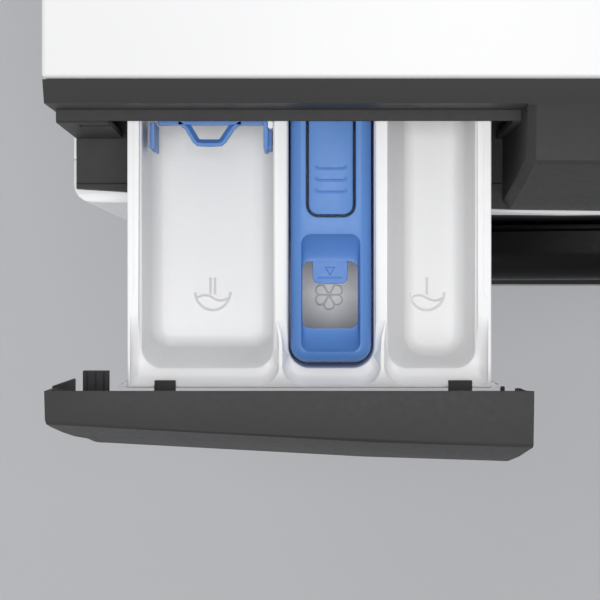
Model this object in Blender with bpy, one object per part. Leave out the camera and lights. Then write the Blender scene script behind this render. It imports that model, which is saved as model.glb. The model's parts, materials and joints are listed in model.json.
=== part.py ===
"""Front-loading washing machine with its detergent drawer pulled out.

Metres, +Z up.  The front faces -Y and +X is to the right of someone who stands in front of it.
The origin is on the floor, under the middle of the machine.  Every separate piece of the machine
is one object.  The pieces that move hang from an empty that stands on the axis of their joint.
"""
import math

import bmesh
import bpy
from mathutils import Matrix, Vector

# ---- Driving dimensions, in metres -------------------------------------------------------------
HALF_WIDTH = 0.300
HEIGHT = 0.850
BACK_Y = 0.316                 # rear face of the cabinet
REAR_MOST_Y = 0.3323           # rear cover and water inlet
SHEET = 0.0015                 # steel sheet, with its enamel
PLASTIC = 0.0025               # moulded panels
GAP = 0.0004                   # between two pieces that touch

WORKTOP_FRONT_Y = -0.1702
WORKTOP_UNDERSIDE = 0.824
FASCIA_BOTTOM = 0.7435
FASCIA_HALF_WIDTH = 0.2997
FRONT_PANEL_TOP = 0.7410
PLINTH_TOP = 0.0985
PLINTH_BOTTOM = 0.0120
BASE_Z = 0.0300

FASCIA_CREASE_Y, FASCIA_CREASE_Z = -0.2130, 0.7900
FASCIA_LEAN = 0.1294           # how far the lower face comes forward, per metre down
FASCIA_BOW = 0.1185            # how far y falls back with x squared, per metre
CABINET_BOW = 0.0675
CABINET_FRONT_Y = -0.2200
CORNER_RADIUS = 0.008

DRAWER_OPENING = 0.115         # how far the drawer stands out here
DRAWER_LEFT = -0.2997
DRAWER_RIGHT = -0.1020
DRAWER_WALL = 0.0022
HOOKS = (((-0.2583, -0.2483), (-0.2572, -0.2484)),   # x at the root, x at the tip
         ((-0.1346, -0.1241), (-0.1346, -0.1247)))
RECESS_RIGHT = -0.1043
RECESS_CHAMFER = 0.0033        # along the recess's right edge, and the drawer front is mitred to it
MITRE_GAP = 0.0005
RECESS_LEFT = -0.2983          # the drawer front's end wall passes outside this
RECESS_BACK_Y = -0.1797
RECESS_LEDGE_Z = 0.8184
RECESS_FLOOR_Z = 0.7455

TRAY_LEFT, TRAY_RIGHT = -0.2687, -0.1165
TRAY_FRONT_Y, TRAY_BACK_Y = -0.2942, -0.0590
TRAY_RIM_Z, TRAY_FLOOR_Z = 0.8160, 0.7660
POCKETS = ((-0.2628, -0.2080), (-0.2013, -0.1651), (-0.1593, -0.1229))
TAB_HINGE_Y, TAB_HINGE_Z = -0.1690, 0.8145
GATE_HINGE_Y, GATE_HINGE_Z = -0.1875, 0.8110

AXIS_Z = 0.450                 # drum and door
DRUM_RADIUS = 0.240
TUB_RADIUS = 0.258
DOOR_RADIUS = 0.228
DOOR_BACK_Y = -0.2240
DOOR_FRONT_Y = -0.2485
OPENING_RADIUS = 0.163
HINGE_X, HINGE_Y = -0.2360, -0.2330
PULL_X, PULL_Y = 0.1860, -0.2460

DRUM_PULLEY_RADIUS = 0.140
MOTOR_PULLEY_RADIUS = 0.010
MOTOR_Z = 0.125
BELT_Y = 0.227
SPRING_X, SPRING_Y = 0.2770, 0.1050
BEARING_OUTER, SHAFT_RADIUS = 0.026, 0.0125
HEATER_XS, HEATER_Z = (-0.030, 0.030), 0.2040

KNOB_X, KNOB_Z, KNOB_RADIUS = 0.0, 0.796, 0.026
START_X, OPTION_XS, BUTTON_Z = 0.262, (0.185, 0.215), 0.796
BUTTON_RADIUS, START_RADIUS = 0.0075, 0.0105
WINDOW_X, WINDOW_Z = (0.056, 0.150), (0.7960, 0.8300)

FOOT_PLACES = ((-0.240, -0.150), (0.240, -0.150), (-0.240, 0.270), (0.240, 0.270))
VALVE_X, VALVE_Z = 0.222, 0.760
PUMP_X, PUMP_Z = 0.210, 0.0705
FLAP_X, FLAP_Z = (0.1588, 0.2612), (0.0308, 0.0872)
FLAP_HINGE_Y, FLAP_HINGE_Z = -0.2155, 0.0345

FINISHES = {                   # base colour, roughness, metallic
    "white_enamel": ((0.86, 0.87, 0.88), 0.35, 0.0),
    "white_plastic": ((0.85, 0.86, 0.88), 0.45, 0.0),
    "dark_plastic": ((0.045, 0.046, 0.048), 0.50, 0.0),
    "black_plastic": ((0.015, 0.015, 0.016), 0.35, 0.0),
    "blue_plastic": ((0.11, 0.27, 0.66), 0.40, 0.0),
    "grey_plastic": ((0.42, 0.43, 0.45), 0.55, 0.0),
    "smoked_glass": ((0.03, 0.03, 0.035), 0.06, 0.0),
    "grey_rubber": ((0.30, 0.31, 0.32), 0.70, 0.0),
    "black_rubber": ((0.03, 0.03, 0.03), 0.75, 0.0),
    "zinc_steel": ((0.62, 0.63, 0.65), 0.40, 1.0),
    "stainless": ((0.72, 0.73, 0.75), 0.22, 1.0),
    "aluminium": ((0.66, 0.67, 0.69), 0.38, 1.0),
    "concrete": ((0.40, 0.39, 0.37), 0.90, 0.0),
    "green_board": ((0.04, 0.22, 0.10), 0.55, 0.0),
}


# ---- Building blocks ---------------------------------------------------------------------------
def finish_for(name, finish):
    """A Principled material of the object's own."""
    colour, roughness, metallic = FINISHES[finish]
    material = bpy.data.materials.new(f"{name}_{finish}")
    material.use_nodes = True
    shader = material.node_tree.nodes["Principled BSDF"]
    shader.inputs["Base Color"].default_value = (*colour, 1.0)
    shader.inputs["Roughness"].default_value = roughness
    shader.inputs["Metallic"].default_value = metallic
    return material


def object_from(name, bm, finish):
    """Turns a bmesh into an object with outward faces and its own material."""
    bmesh.ops.recalc_face_normals(bm, faces=bm.faces)
    mesh = bpy.data.meshes.new(name)
    bm.to_mesh(mesh)
    bm.free()
    obj = bpy.data.objects.new(name, mesh)
    bpy.context.scene.collection.objects.link(obj)
    mesh.materials.append(finish_for(name, finish))
    mesh.shade_smooth()
    mesh.set_sharp_from_angle(angle=math.radians(35))
    return obj


def skin(name, rings, finish, capped=True, wrapped=False):
    """Joins rings of equally many points with quads, and caps the two ends."""
    bm = bmesh.new()
    loops = [[bm.verts.new(point) for point in ring] for ring in rings]
    spans = list(zip(loops, loops[1:]))
    if wrapped:
        spans.append((loops[-1], loops[0]))
    for near, far in spans:
        for i in range(len(near)):
            j = (i + 1) % len(near)
            bm.faces.new((near[i], near[j], far[j], far[i]))
    if capped and not wrapped:
        bm.faces.new(loops[0])
        bm.faces.new(loops[-1])
    return object_from(name, bm, finish)


def block(name, x, y, z, finish):
    """A box between pairs of coordinates."""
    ring = ((x[0], y[0]), (x[1], y[0]), (x[1], y[1]), (x[0], y[1]))
    return skin(name, [[(px, py, pz) for px, py in ring] for pz in z], finish)


def upright(name, outline, z, finish):
    """An outline in plan, (x, y), stood up between two heights."""
    return skin(name, [[(px, py, pz) for px, py in outline] for pz in z], finish)


def along_y(name, outline, y, finish):
    """An outline seen from the front, (x, z), drawn out between two depths."""
    return skin(name, [[(px, py, pz) for px, pz in outline] for py in y], finish)


def along_x(name, outline, x, finish, bow=0.0, stations=1):
    """A side profile of (y, z, share of the bow), drawn out between two places in x."""
    rings = []
    for i in range(stations + 1):
        px = x[0] + (x[1] - x[0]) * i / stations
        rings.append([(px, py + share * bow * px * px, pz) for py, pz, share in outline])
    return skin(name, rings, finish)


def circle(radius, count, centre=(0.0, 0.0), start=0.0, sweep=2 * math.pi):
    """Points round a circle or, with a smaller sweep, along an arc that holds both its ends."""
    steps = count if sweep >= 2 * math.pi else count - 1
    angles = [start + sweep * i / steps for i in range(count)]
    return [(centre[0] + radius * math.cos(a), centre[1] + radius * math.sin(a)) for a in angles]


def rounded(x, z, radius, per_corner=4):
    """A rectangle with round corners."""
    corners = (
        (x[1] - radius, z[1] - radius, 0.0), (x[0] + radius, z[1] - radius, 0.5 * math.pi),
        (x[0] + radius, z[0] + radius, math.pi), (x[1] - radius, z[0] + radius, 1.5 * math.pi),
    )
    points = []
    for cx, cz, start in corners:
        points += circle(radius, per_corner, (cx, cz), start, 0.5 * math.pi)
    return points


def turned(name, profile, finish, count=40, centre=(0.0, AXIS_Z)):
    """A closed profile of (radius, y), turned about an axis along Y.  Radius 0 is on the axis."""
    bm = bmesh.new()
    columns = []
    for r, y in profile:
        around = circle(r, count, centre) if r > 0 else [centre]
        columns.append([bm.verts.new((x, y, z)) for x, z in around])
    for near, far in zip(columns, columns[1:] + columns[:1]):
        if len(near) == len(far) == 1:
            continue
        for i in range(count):
            j = (i + 1) % count
            corners = (near[i % len(near)], near[j % len(near)],
                       far[j % len(far)], far[i % len(far)])
            bm.faces.new(list(dict.fromkeys(corners)))
    return object_from(name, bm, finish)


def rod_y(name, radius, y, finish, centre, count=20):
    return along_y(name, circle(radius, count, centre), y, finish)


def rod_z(name, radius, z, finish, centre, count=20):
    return upright(name, circle(radius, count, centre), z, finish)


def tube(name, path, radius, finish, sides=8):
    """A round bar that follows a path, with square ends."""
    points = [Vector(point) for point in path]
    rings = []
    side = None
    for i, point in enumerate(points):
        ahead = (points[min(i + 1, len(points) - 1)] - points[max(i - 1, 0)]).normalized()
        if side is None:
            side = ahead.orthogonal().normalized()
        side = (side - side.dot(ahead) * ahead).normalized()
        other = ahead.cross(side)
        rings.append([point + radius * (c * side + s * other) for c, s in circle(1.0, sides)])
    return skin(name, rings, finish)


def boolean(target, tool, operation):
    """Cuts a hidden tool out of the target, or joins it on."""
    tool.name = f"{target.name}_tool"
    tool.hide_render = True
    tool.display_type = "WIRE"
    modifier = target.modifiers.new("shape", "BOOLEAN")
    modifier.operation = operation
    modifier.solver = "EXACT"
    modifier.object = tool
    return target


def cut(target, *tools):
    for tool in tools:
        boolean(target, tool, "DIFFERENCE")
    return target


def join(target, *tools):
    for tool in tools:
        boolean(target, tool, "UNION")
    return target


def hang(axis_name, place, pieces, parent=None):
    """Hangs pieces from an empty on their joint's axis, without moving them."""
    empty = bpy.data.objects.new(axis_name, None)
    bpy.context.scene.collection.objects.link(empty)
    empty.parent = parent
    empty.matrix_world = Matrix.Translation(place)
    for piece in pieces:
        piece.data.transform(Matrix.Translation(-Vector(place)))
        piece.parent = empty
    bpy.context.view_layer.update()
    return empty


# ---- Cabinet -----------------------------------------------------------------------------------
def cabinet_front_outline(inset):
    """The front sheet's line in plan: a side return, a round corner, and the bowed front."""
    side_x = HALF_WIDTH - inset
    radius = CORNER_RADIUS - inset
    corner_x = HALF_WIDTH - CORNER_RADIUS
    corner_y = CABINET_FRONT_Y + CABINET_BOW * corner_x ** 2 + CORNER_RADIUS
    right = [(side_x, -0.1950)] + circle(radius, 5, (corner_x, corner_y), 0.0, -0.5 * math.pi)
    front = []
    for i in range(1, 8):
        x = corner_x * (1 - i / 4)
        front.append((x, CABINET_FRONT_Y + inset + CABINET_BOW * x * x))
    left = [(-x, y) for x, y in reversed(right)]
    return right + front + left


def front_sheet(name, z):
    """A bent steel sheet across the front, between two heights."""
    outer = cabinet_front_outline(0.0)
    inner = cabinet_front_outline(SHEET)
    return upright(name, outer + inner[::-1], z, "white_enamel")


def make_front_panel():
    """The front sheet with its door hole, its lock slot and a shelf turned in along the top."""
    panel = front_sheet("front_panel", (PLINTH_TOP + GAP, FRONT_PANEL_TOP))
    shelf = cabinet_front_outline(0.5 * SHEET)[1:-1]
    join(panel, upright("shelf", shelf, (FRONT_PANEL_TOP - SHEET, FRONT_PANEL_TOP),
                        "white_enamel"))
    return cut(
        panel,
        block("under_fascia", (-0.270, 0.270), (-0.2070, -0.15), (0.70, 0.80), "white_enamel"),
        rod_y("door_hole", OPENING_RADIUS, (-0.24, -0.20), "white_enamel", (0, AXIS_Z), 48),
        block("lock_hole", (0.194, 0.211), (-0.24, -0.20), (0.437, 0.463), "white_enamel"),
    )


def make_plinth():
    plinth = front_sheet("plinth", (PLINTH_BOTTOM, PLINTH_TOP))
    hole = block("flap_hole", (0.158, 0.262), (-0.24, -0.20), (0.030, 0.088), "white_enamel")
    return cut(plinth, hole)


def make_side_panel(name, side):
    """A flat side with a turned-in edge at the back and along the front."""
    front_y = -0.1946
    outline = (
        (front_y, PLINTH_BOTTOM), (BACK_Y, PLINTH_BOTTOM), (BACK_Y, WORKTOP_UNDERSIDE - GAP),
        (WORKTOP_FRONT_Y, WORKTOP_UNDERSIDE - GAP), (WORKTOP_FRONT_Y, FASCIA_BOTTOM - 0.002),
        (front_y, FASCIA_BOTTOM - 0.002),
    )
    inner_x = side * (HALF_WIDTH - SHEET)
    panel = along_x(name, [(y, z, 0) for y, z in outline], sorted((side * HALF_WIDTH, inner_x)),
                    "white_enamel")
    turned_in = sorted((side * 0.2990, side * 0.2800))
    low = PLINTH_BOTTOM, FASCIA_BOTTOM - 0.002
    join(
        panel,
        block("front_edge", turned_in, (front_y, front_y + SHEET), low, "white_enamel"),
        block("back_edge", turned_in, (BACK_Y - SHEET, BACK_Y),
              (PLINTH_BOTTOM, WORKTOP_UNDERSIDE - GAP), "white_enamel"),
        block("spring_shelf", sorted((side * 0.2990, side * 0.2580)),
              (SPRING_Y - 0.020, SPRING_Y + 0.020), (0.8150, 0.8190), "white_enamel"),
    )
    return panel


def make_rear_panel():
    y = BACK_Y - 0.0040, BACK_Y - 0.0020
    outline = rounded((-0.2780, 0.2780), (0.0340, WORKTOP_UNDERSIDE - GAP), 0.004)
    panel = along_y("rear_panel", outline, y, "zinc_steel")
    opening = rounded((-0.165, 0.165), (0.085, 0.615), 0.020)
    return cut(
        panel,
        along_y("service_opening", opening, (0.30, 0.33), "zinc_steel"),
        rod_y("inlet_hole", 0.0165, (0.30, 0.33), "zinc_steel", (0.222, 0.760)),
    )


def make_rear_cover():
    """A dished steel cover over the belt, open towards the machine."""
    def ring(half_width, low, high, y):
        return [(x, y, z) for x, z in rounded((-half_width, half_width), (low, high), 0.012)]

    back = BACK_Y - 0.0020 + GAP
    cover = skin("rear_cover", (
        ring(0.180, 0.070, 0.630, back), ring(0.180, 0.070, 0.630, back + SHEET),
        ring(0.150, 0.100, 0.600, back + SHEET), ring(0.142, 0.108, 0.592, REAR_MOST_Y),
    ), "zinc_steel")
    hollow = skin("hollow", (
        ring(0.149, 0.101, 0.599, back - 0.010), ring(0.149, 0.101, 0.599, back + SHEET),
        ring(0.1405, 0.1095, 0.5905, REAR_MOST_Y - SHEET),
    ), "zinc_steel")
    return cut(cover, hollow)


def make_worktop():
    top = block("worktop", (-HALF_WIDTH, HALF_WIDTH), (WORKTOP_FRONT_Y, BACK_Y),
                (WORKTOP_UNDERSIDE, HEIGHT), "white_enamel")
    bevel = top.modifiers.new("edge", "BEVEL")
    bevel.width = 0.0015
    bevel.segments = 2
    return top


def make_base_pan():
    """A deep tray with four holes for the feet and raised stiffening edges."""
    x, y = (-0.2780, 0.2780), (-0.1900, 0.3080)
    pan = block("base_pan", x, y, (BASE_Z, BASE_Z + 0.022), "grey_plastic")
    well = block("well", (x[0] + 0.003, x[1] - 0.003), (y[0] + 0.003, y[1] - 0.003),
                 (BASE_Z + 0.003, 0.10), "grey_plastic")
    holes = [rod_z("foot_hole", 0.0056, (0.0, 0.10), "grey_plastic", place, 16)
             for place in FOOT_PLACES]
    return cut(pan, well, *holes)


def make_foot(name, place):
    """A levelling foot: a round pad, a hexagonal nut and a threaded stud through the base."""
    pad = rod_z(name, 0.0200, (0.0, 0.0100), "black_rubber", place, 24)
    return join(
        pad,
        upright("nut", circle(0.0110, 6, place), (0.0090, 0.0200), "zinc_steel"),
        rod_z("stud", 0.0050, (0.0190, 0.0480), "zinc_steel", place, 12),
    )


# ---- Control panel -----------------------------------------------------------------------------
def fascia_profile(inset, bottom):
    """The outer side profile of the control panel, moved inwards by an inset."""
    low_y = FASCIA_CREASE_Y - FASCIA_LEAN * (FASCIA_CREASE_Z - bottom)
    return [
        (-0.1803, 0.8445 - inset, 0.0), (-0.2036 + 0.8 * inset, 0.8420 - inset, 1.0),
        (-0.2050 + inset, 0.8405 - 0.8 * inset, 1.0),
        (FASCIA_CREASE_Y + inset, FASCIA_CREASE_Z, 1.0), (low_y + inset, bottom, 1.0),
    ]


def fascia_y(x, z):
    """Where the outer face of the control panel is at a place on it."""
    above = z - FASCIA_CREASE_Z
    lean = 0.0080 / 0.0505 if above > 0 else FASCIA_LEAN
    return FASCIA_CREASE_Y + lean * above + FASCIA_BOW * x * x


def mitre(name, stations, closing, bottom, out=0.0):
    """A cutter along the panel's face, whose inset changes from one place in x to the other."""
    rings = []
    for x, inset in stations:
        outline = fascia_profile(inset, bottom) + [(y - out, z, 0.0) for y, z in closing]
        rings.append([(x, y + out + share * FASCIA_BOW * x * x, z) for y, z, share in outline])
    return skin(name, rings, "dark_plastic")


def make_control_panel():
    """A moulded shell, open at the back, with the drawer's recess on its left."""
    back = -0.1702 - GAP
    outline = [(back, FASCIA_BOTTOM, 0.0), (back, HEIGHT - 0.0003, 0.0)]
    panel = along_x("control_panel", outline + fascia_profile(0.0, FASCIA_BOTTOM),
                    (-FASCIA_HALF_WIDTH, FASCIA_HALF_WIDTH), "dark_plastic", FASCIA_BOW, 12)
    open_back = [(-0.160, 0.60, 0.0), (-0.160, HEIGHT - 0.0003 - PLASTIC, 0.0)]
    hollow = along_x("hollow", open_back + fascia_profile(PLASTIC, 0.60),
                     (RECESS_RIGHT + RECESS_CHAMFER + PLASTIC, FASCIA_HALF_WIDTH - PLASTIC),
                     "dark_plastic", FASCIA_BOW, 8)
    lip_y, lip_z = -0.2056, RECESS_FLOOR_Z + 0.0007
    recess_outline = (
        (RECESS_BACK_Y, 0.90), (RECESS_BACK_Y, RECESS_LEDGE_Z), (-0.1841, RECESS_LEDGE_Z),
        (-0.1850, RECESS_LEDGE_Z - 0.0014), (-0.1855, RECESS_FLOOR_Z), (lip_y, RECESS_FLOOR_Z),
        (lip_y - 0.0007, lip_z), (-0.30, lip_z), (-0.30, 0.90),
    )
    recess = along_x("recess", [(y, z, 0.0) for y, z in recess_outline],
                     (-0.32, RECESS_RIGHT), "dark_plastic")
    chamfer = mitre(
        "chamfer",
        ((RECESS_RIGHT - 0.0005, RECESS_CHAMFER + 0.0005),
         (RECESS_RIGHT + RECESS_CHAMFER + 0.0005, -0.0005)),
        ((-0.30, lip_z), (-0.30, 0.90), (-0.1803, 0.90)), lip_z,
    )
    behind_outline = (
        (-0.160, RECESS_FLOOR_Z + 0.001), (-0.160, HEIGHT - 0.0003 - PLASTIC),
        (-0.1774, 0.8420), (-0.1774, 0.8160), (-0.1826, 0.8150), (-0.1830, RECESS_FLOOR_Z + 0.001),
    )
    behind = along_x("behind", [(y, z, 0.0) for y, z in behind_outline],
                     (RECESS_LEFT + PLASTIC, RECESS_RIGHT - MITRE_GAP), "dark_plastic")
    aperture = block("aperture", (-0.2770, -0.1075), (-0.195, -0.165), (0.7475, 0.8180),
                     "dark_plastic")
    tongue_slot = block("tongue_slot", (-0.2900, -0.2760), (-0.195, -0.165), (0.7985, 0.8075),
                        "dark_plastic")
    end_space = block("end_space", (-0.31, RECESS_LEFT), (-0.24, RECESS_BACK_Y + 0.0001),
                      (0.70, RECESS_LEDGE_Z + 0.0030), "dark_plastic")
    cut(panel, hollow, recess, chamfer, behind, aperture, tongue_slot, end_space)
    through = -0.24, -0.17
    cut(panel, rod_y("knob_hole", 0.0062, through, "dark_plastic", (KNOB_X, KNOB_Z), 16))
    cut(panel, block("window_hole", WINDOW_X, through, WINDOW_Z, "dark_plastic"))
    for x, radius in [(START_X, START_RADIUS)] + [(x, BUTTON_RADIUS) for x in OPTION_XS]:
        cut(panel, rod_y("button_hole", radius + 0.0005, through, "dark_plastic",
                         (x, BUTTON_Z), 20))
    return panel


def make_display_window():
    """A smoked pane that fills its opening and follows the panel's face."""
    low, high = WINDOW_Z[0] + 0.0005, WINDOW_Z[1] - 0.0005
    outline = [
        (fascia_y(0, high), high, 1.0), (fascia_y(0, low), low, 1.0),
        (fascia_y(0, low) + 0.002, low, 1.0), (fascia_y(0, high) + 0.002, high, 1.0),
    ]
    return along_x("display_window", outline, (WINDOW_X[0] + 0.0005, WINDOW_X[1] - 0.0005),
                   "smoked_glass", FASCIA_BOW, 4)


def make_button(name, x, radius, finish):
    """A round cap in the panel, with a pusher that reaches the control board."""
    face = fascia_y(x, BUTTON_Z)
    cap = rod_y(name, radius, (face - 0.0022, face + 0.0060), finish, (x, BUTTON_Z))
    return join(cap, rod_y("pusher", 0.002, (face + 0.005, -0.1790), finish, (x, BUTTON_Z), 8))


def make_knob():
    """A turned grip with a flat front and a shaft into the selector."""
    back, front = -0.2166, -0.2360
    profile = [
        (0.0, back), (KNOB_RADIUS - 0.001, back), (KNOB_RADIUS, back - 0.001),
        (KNOB_RADIUS - 0.002, front + 0.002), (KNOB_RADIUS - 0.004, front), (0.0, front),
    ]
    knob = turned("programme_knob", profile, "white_plastic", 36, (KNOB_X, KNOB_Z))
    shaft = rod_y("knob_shaft", 0.0055, (-0.2250, -0.1850), "white_plastic", (KNOB_X, KNOB_Z), 16)
    pointer = block("pointer", (-0.001, 0.001), (front - 0.0006, front + 0.001),
                    (KNOB_Z + 0.008, KNOB_Z + 0.021), "white_plastic")
    return join(knob, shaft, pointer)


def make_control_board():
    return block("control_board", (-0.080, 0.285), (-0.1770, -0.1754), (0.7560, 0.8200),
                 "green_board")


# ---- Detergent drawer --------------------------------------------------------------------------
def make_drawer_front():
    """A hollow front with a round outer corner, two hooks over the tray and a guide tongue."""
    out = -DRAWER_OPENING
    bottom = RECESS_FLOOR_Z + 0.0020
    back_low, step_z = -0.3012, RECESS_LEDGE_Z + 0.0011
    profile = [(y + out, z, share) for y, z, share in fascia_profile(0.0, bottom)]
    profile[0] = (profile[0][0] - GAP, profile[0][1], 0.0)
    outline = [(back_low, step_z, 0.0), (profile[0][0], step_z, 0.0)] + profile
    outline.append((back_low, bottom, 0.0))
    front = along_x("drawer_front", outline, (DRAWER_LEFT, DRAWER_RIGHT), "dark_plastic",
                    FASCIA_BOW, 6)
    mitre_depth = RECESS_CHAMFER - MITRE_GAP
    wall = DRAWER_WALL
    inner = [(y + out, z, share) for y, z, share in fascia_profile(wall, bottom + wall)]
    hollow_outline = [(-0.28, bottom + wall, 0.0), (-0.28, inner[0][1], 0.0)] + inner
    hollow = along_x("hollow", hollow_outline,
                     (DRAWER_LEFT + wall, DRAWER_RIGHT - mitre_depth - wall),
                     "dark_plastic", FASCIA_BOW, 6)
    end = mitre(
        "end",
        ((DRAWER_RIGHT + 0.0012, -0.0007), (DRAWER_RIGHT - mitre_depth, RECESS_CHAMFER)),
        ((-0.28, 0.74), (-0.28, 0.80)), 0.74, out,
    )
    corner_y = -0.331 + 0.0107
    corner = [(DRAWER_LEFT - 0.01, corner_y - 0.02), (DRAWER_LEFT + 0.013, corner_y - 0.02)]
    corner += circle(0.013, 6, (DRAWER_LEFT + 0.013, corner_y + 0.013), -0.5 * math.pi,
                     -0.5 * math.pi)
    corner.append((DRAWER_LEFT - 0.01, corner_y + 0.013))
    cut(front, upright("round_corner", corner, (0.70, 0.90), "dark_plastic"), hollow, end)
    join(front, block("ear", (DRAWER_LEFT + 0.0002, DRAWER_LEFT + 0.0013), (-0.3032, -0.2947),
                      (bottom + 0.0002, step_z + 0.0016), "dark_plastic"))
    hook_z = TRAY_RIM_Z + GAP, TRAY_RIM_Z + 0.0018
    for root, tip in HOOKS:
        root_y = fascia_y(root[0], hook_z[1]) + out + 0.0016
        outline = [(root[0], root_y), (root[1], root_y), (tip[1], -0.2925), (tip[0], -0.2925)]
        join(front, upright("hook", outline, hook_z, "dark_plastic"))
    root_y = fascia_y(-0.1110, 0.8175) + out + 0.0016
    join(front, block("clip", (-0.1125, -0.1110), (root_y, -0.2952), (0.8130, 0.8175),
                      "dark_plastic"))
    root_y = fascia_y(-0.2777, 0.806) + out + 0.0016
    tongue = block("tongue", (-0.2885, -0.2777), (root_y, -0.2890), (0.800, 0.806),
                   "dark_plastic")
    return join(front, tongue)


def make_drawer_tray():
    """Three pockets under one rim, with a flange that the front clips on to."""
    tray = block("drawer_tray", (TRAY_LEFT, TRAY_RIGHT), (TRAY_FRONT_Y, TRAY_BACK_Y),
                 (TRAY_FLOOR_Z - 0.002, TRAY_RIM_Z), "white_plastic")
    for left, right in POCKETS:
        pocket = rounded((left, right), (TRAY_FRONT_Y + 0.0067, TRAY_BACK_Y - 0.006), 0.008, 4)
        cut(tray, upright("pocket", pocket, (TRAY_FLOOR_Z, 0.83), "white_plastic"))
    flange = block("flange", (-0.2725, -0.1125), (TRAY_FRONT_Y - 0.0015, TRAY_FRONT_Y + 0.001),
                   (TRAY_FLOOR_Z + 0.004, TRAY_RIM_Z), "white_plastic")
    return join(tray, flange)


def make_softener_insert():
    """A lid over the middle pocket, with a funnel, a filling window and a slot for the tab."""
    insert = upright("softener_insert", rounded((-0.2004, -0.1666), (-0.2850, -0.1500), 0.007),
                     (0.7900, 0.8172), "blue_plastic")
    return cut(
        insert,
        upright("funnel", rounded((-0.1958, -0.1714), (-0.2807, -0.2323), 0.004),
                (0.8090, 0.83), "blue_plastic"),
        upright("window", rounded((-0.1950, -0.1724), (-0.2709, -0.2427), 0.004),
                (0.78, 0.81), "blue_plastic"),
        upright("slot", rounded((-0.1950, -0.1722), (-0.2263, -0.1665), 0.005),
                (0.78, 0.83), "blue_plastic"),
    )


def make_release_tab():
    tab = upright("release_tab", rounded((-0.1937, -0.1735), (-0.2250, -0.1672), 0.004),
                  (0.8130, 0.8162), "blue_plastic")
    ridges = [block("ridge", (-0.1898, -0.1777), (y, y + 0.0012), (0.8150, 0.8172),
                    "blue_plastic") for y in (-0.2140, -0.2090, -0.2040)]
    return join(tab, *ridges)


def make_liquid_flap():
    """A gate across the left pocket, with a loop to lift it by."""
    gate = block("liquid_flap", (-0.2555, -0.2120), (-0.1885, -0.1865), (0.7690, 0.8130),
                 "blue_plastic")
    loop = [(-0.2476, -0.1875), (-0.2396, -0.1969), (-0.2291, -0.1969), (-0.2223, -0.1875)]
    eye = [(-0.2425, -0.1889), (-0.2388, -0.1945), (-0.2299, -0.1945), (-0.2274, -0.1889)]
    return join(gate, cut(upright("loop", loop, (0.8098, 0.8124), "blue_plastic"),
                          upright("eye", eye, (0.80, 0.82), "blue_plastic")))


def make_dispenser_housing():
    """The box that the drawer runs in, with an outlet under it and a water inlet at its back."""
    x, y, z = (-0.2785, -0.1065), (-0.1725, 0.0750), (0.7530, 0.8225)
    wall = 0.0020
    housing = block("dispenser_housing", x, y, z, "grey_plastic")
    join(housing, rod_z("outlet", 0.016, (0.738, z[0] + 0.001), "grey_plastic", (-0.19, 0.02)))
    return cut(
        housing,
        block("inside", (x[0] + wall, x[1] - wall), (y[0] - 0.01, y[1] - wall),
              (z[0] + wall, z[1] - wall), "grey_plastic"),
        rod_z("outlet_bore", 0.0135, (0.73, z[0] + 0.01), "grey_plastic", (-0.19, 0.02)),
    )


# ---- Tub and drum ------------------------------------------------------------------------------
def make_tub_front():
    """The front half of the tub, with its opening."""
    outer, wall = TUB_RADIUS, 0.0035
    profile = [
        (0.176, -0.1720), (outer, -0.1720), (outer, -0.0200), (outer - wall, -0.0200),
        (outer - wall, -0.1680), (0.176, -0.1680),
    ]
    return turned("tub_front", profile, "grey_plastic", 40)


def make_tub_rear():
    """The rear half of the tub: a stiff wall with the bearing hub, and two spring lugs."""
    outer, wall = TUB_RADIUS, 0.0035
    profile = [
        (BEARING_OUTER + GAP, 0.2050), (BEARING_OUTER + GAP, 0.1560),
        (BEARING_OUTER + 0.008, 0.1560), (0.075, 0.1640), (outer - wall, 0.1640),
        (outer - wall, -0.0196), (outer, -0.0196), (outer, 0.1680), (0.075, 0.1680),
        (BEARING_OUTER + 0.010, 0.1800), (BEARING_OUTER + 0.008, 0.2050),
    ]
    tub = turned("tub_rear", profile, "grey_plastic", 40)
    for side in (-1, 1):
        join(tub, block("lug", sorted((side * 0.2115, side * 0.2880)),
                        (SPRING_Y - 0.010, SPRING_Y + 0.010), (0.5700, 0.6000), "grey_plastic"))
    for x in HEATER_XS:
        cut(tub, rod_y("heater_hole", 0.0050, (0.15, 0.18), "grey_plastic", (x, HEATER_Z), 12))
    return tub


def make_bearing(name, y):
    profile = [(SHAFT_RADIUS + GAP, y[0]), (BEARING_OUTER, y[0]), (BEARING_OUTER, y[1]),
               (SHAFT_RADIUS + GAP, y[1])]
    return turned(name, profile, "zinc_steel", 24)


def make_drum_basket():
    """A stainless drum with a rolled front lip."""
    outer, wall = DRUM_RADIUS, 0.0012
    profile = [
        (0.170, -0.1500), (outer - 0.006, -0.1500), (outer, -0.1440), (outer, 0.1390),
        (outer - 0.006, 0.1450), (0.030, 0.1450), (0.030, 0.1450 - wall),
        (outer - 0.007, 0.1450 - wall), (outer - wall, 0.1384), (outer - wall, -0.1434),
        (outer - 0.007, -0.1500 + wall), (0.170, -0.1500 + wall),
    ]
    return turned("drum_basket", profile, "stainless", 40)


def make_lifter(name, angle):
    """A hollow ridge along the drum wall that lifts the laundry."""
    reach = DRUM_RADIUS - 0.0012 - 0.0012
    section = [(reach, -0.030), (reach - 0.020, -0.020), (reach - 0.042, -0.008),
               (reach - 0.042, 0.008), (reach - 0.020, 0.020), (reach, 0.030)]
    cos_a, sin_a = math.cos(angle), math.sin(angle)
    outline = []
    for radial, across in section:
        radial = min(radial, math.sqrt(reach ** 2 - across ** 2))
        outline.append((radial * cos_a - across * sin_a, AXIS_Z + radial * sin_a + across * cos_a))
    return along_y(name, outline, (-0.125, 0.125), "grey_plastic")


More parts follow.
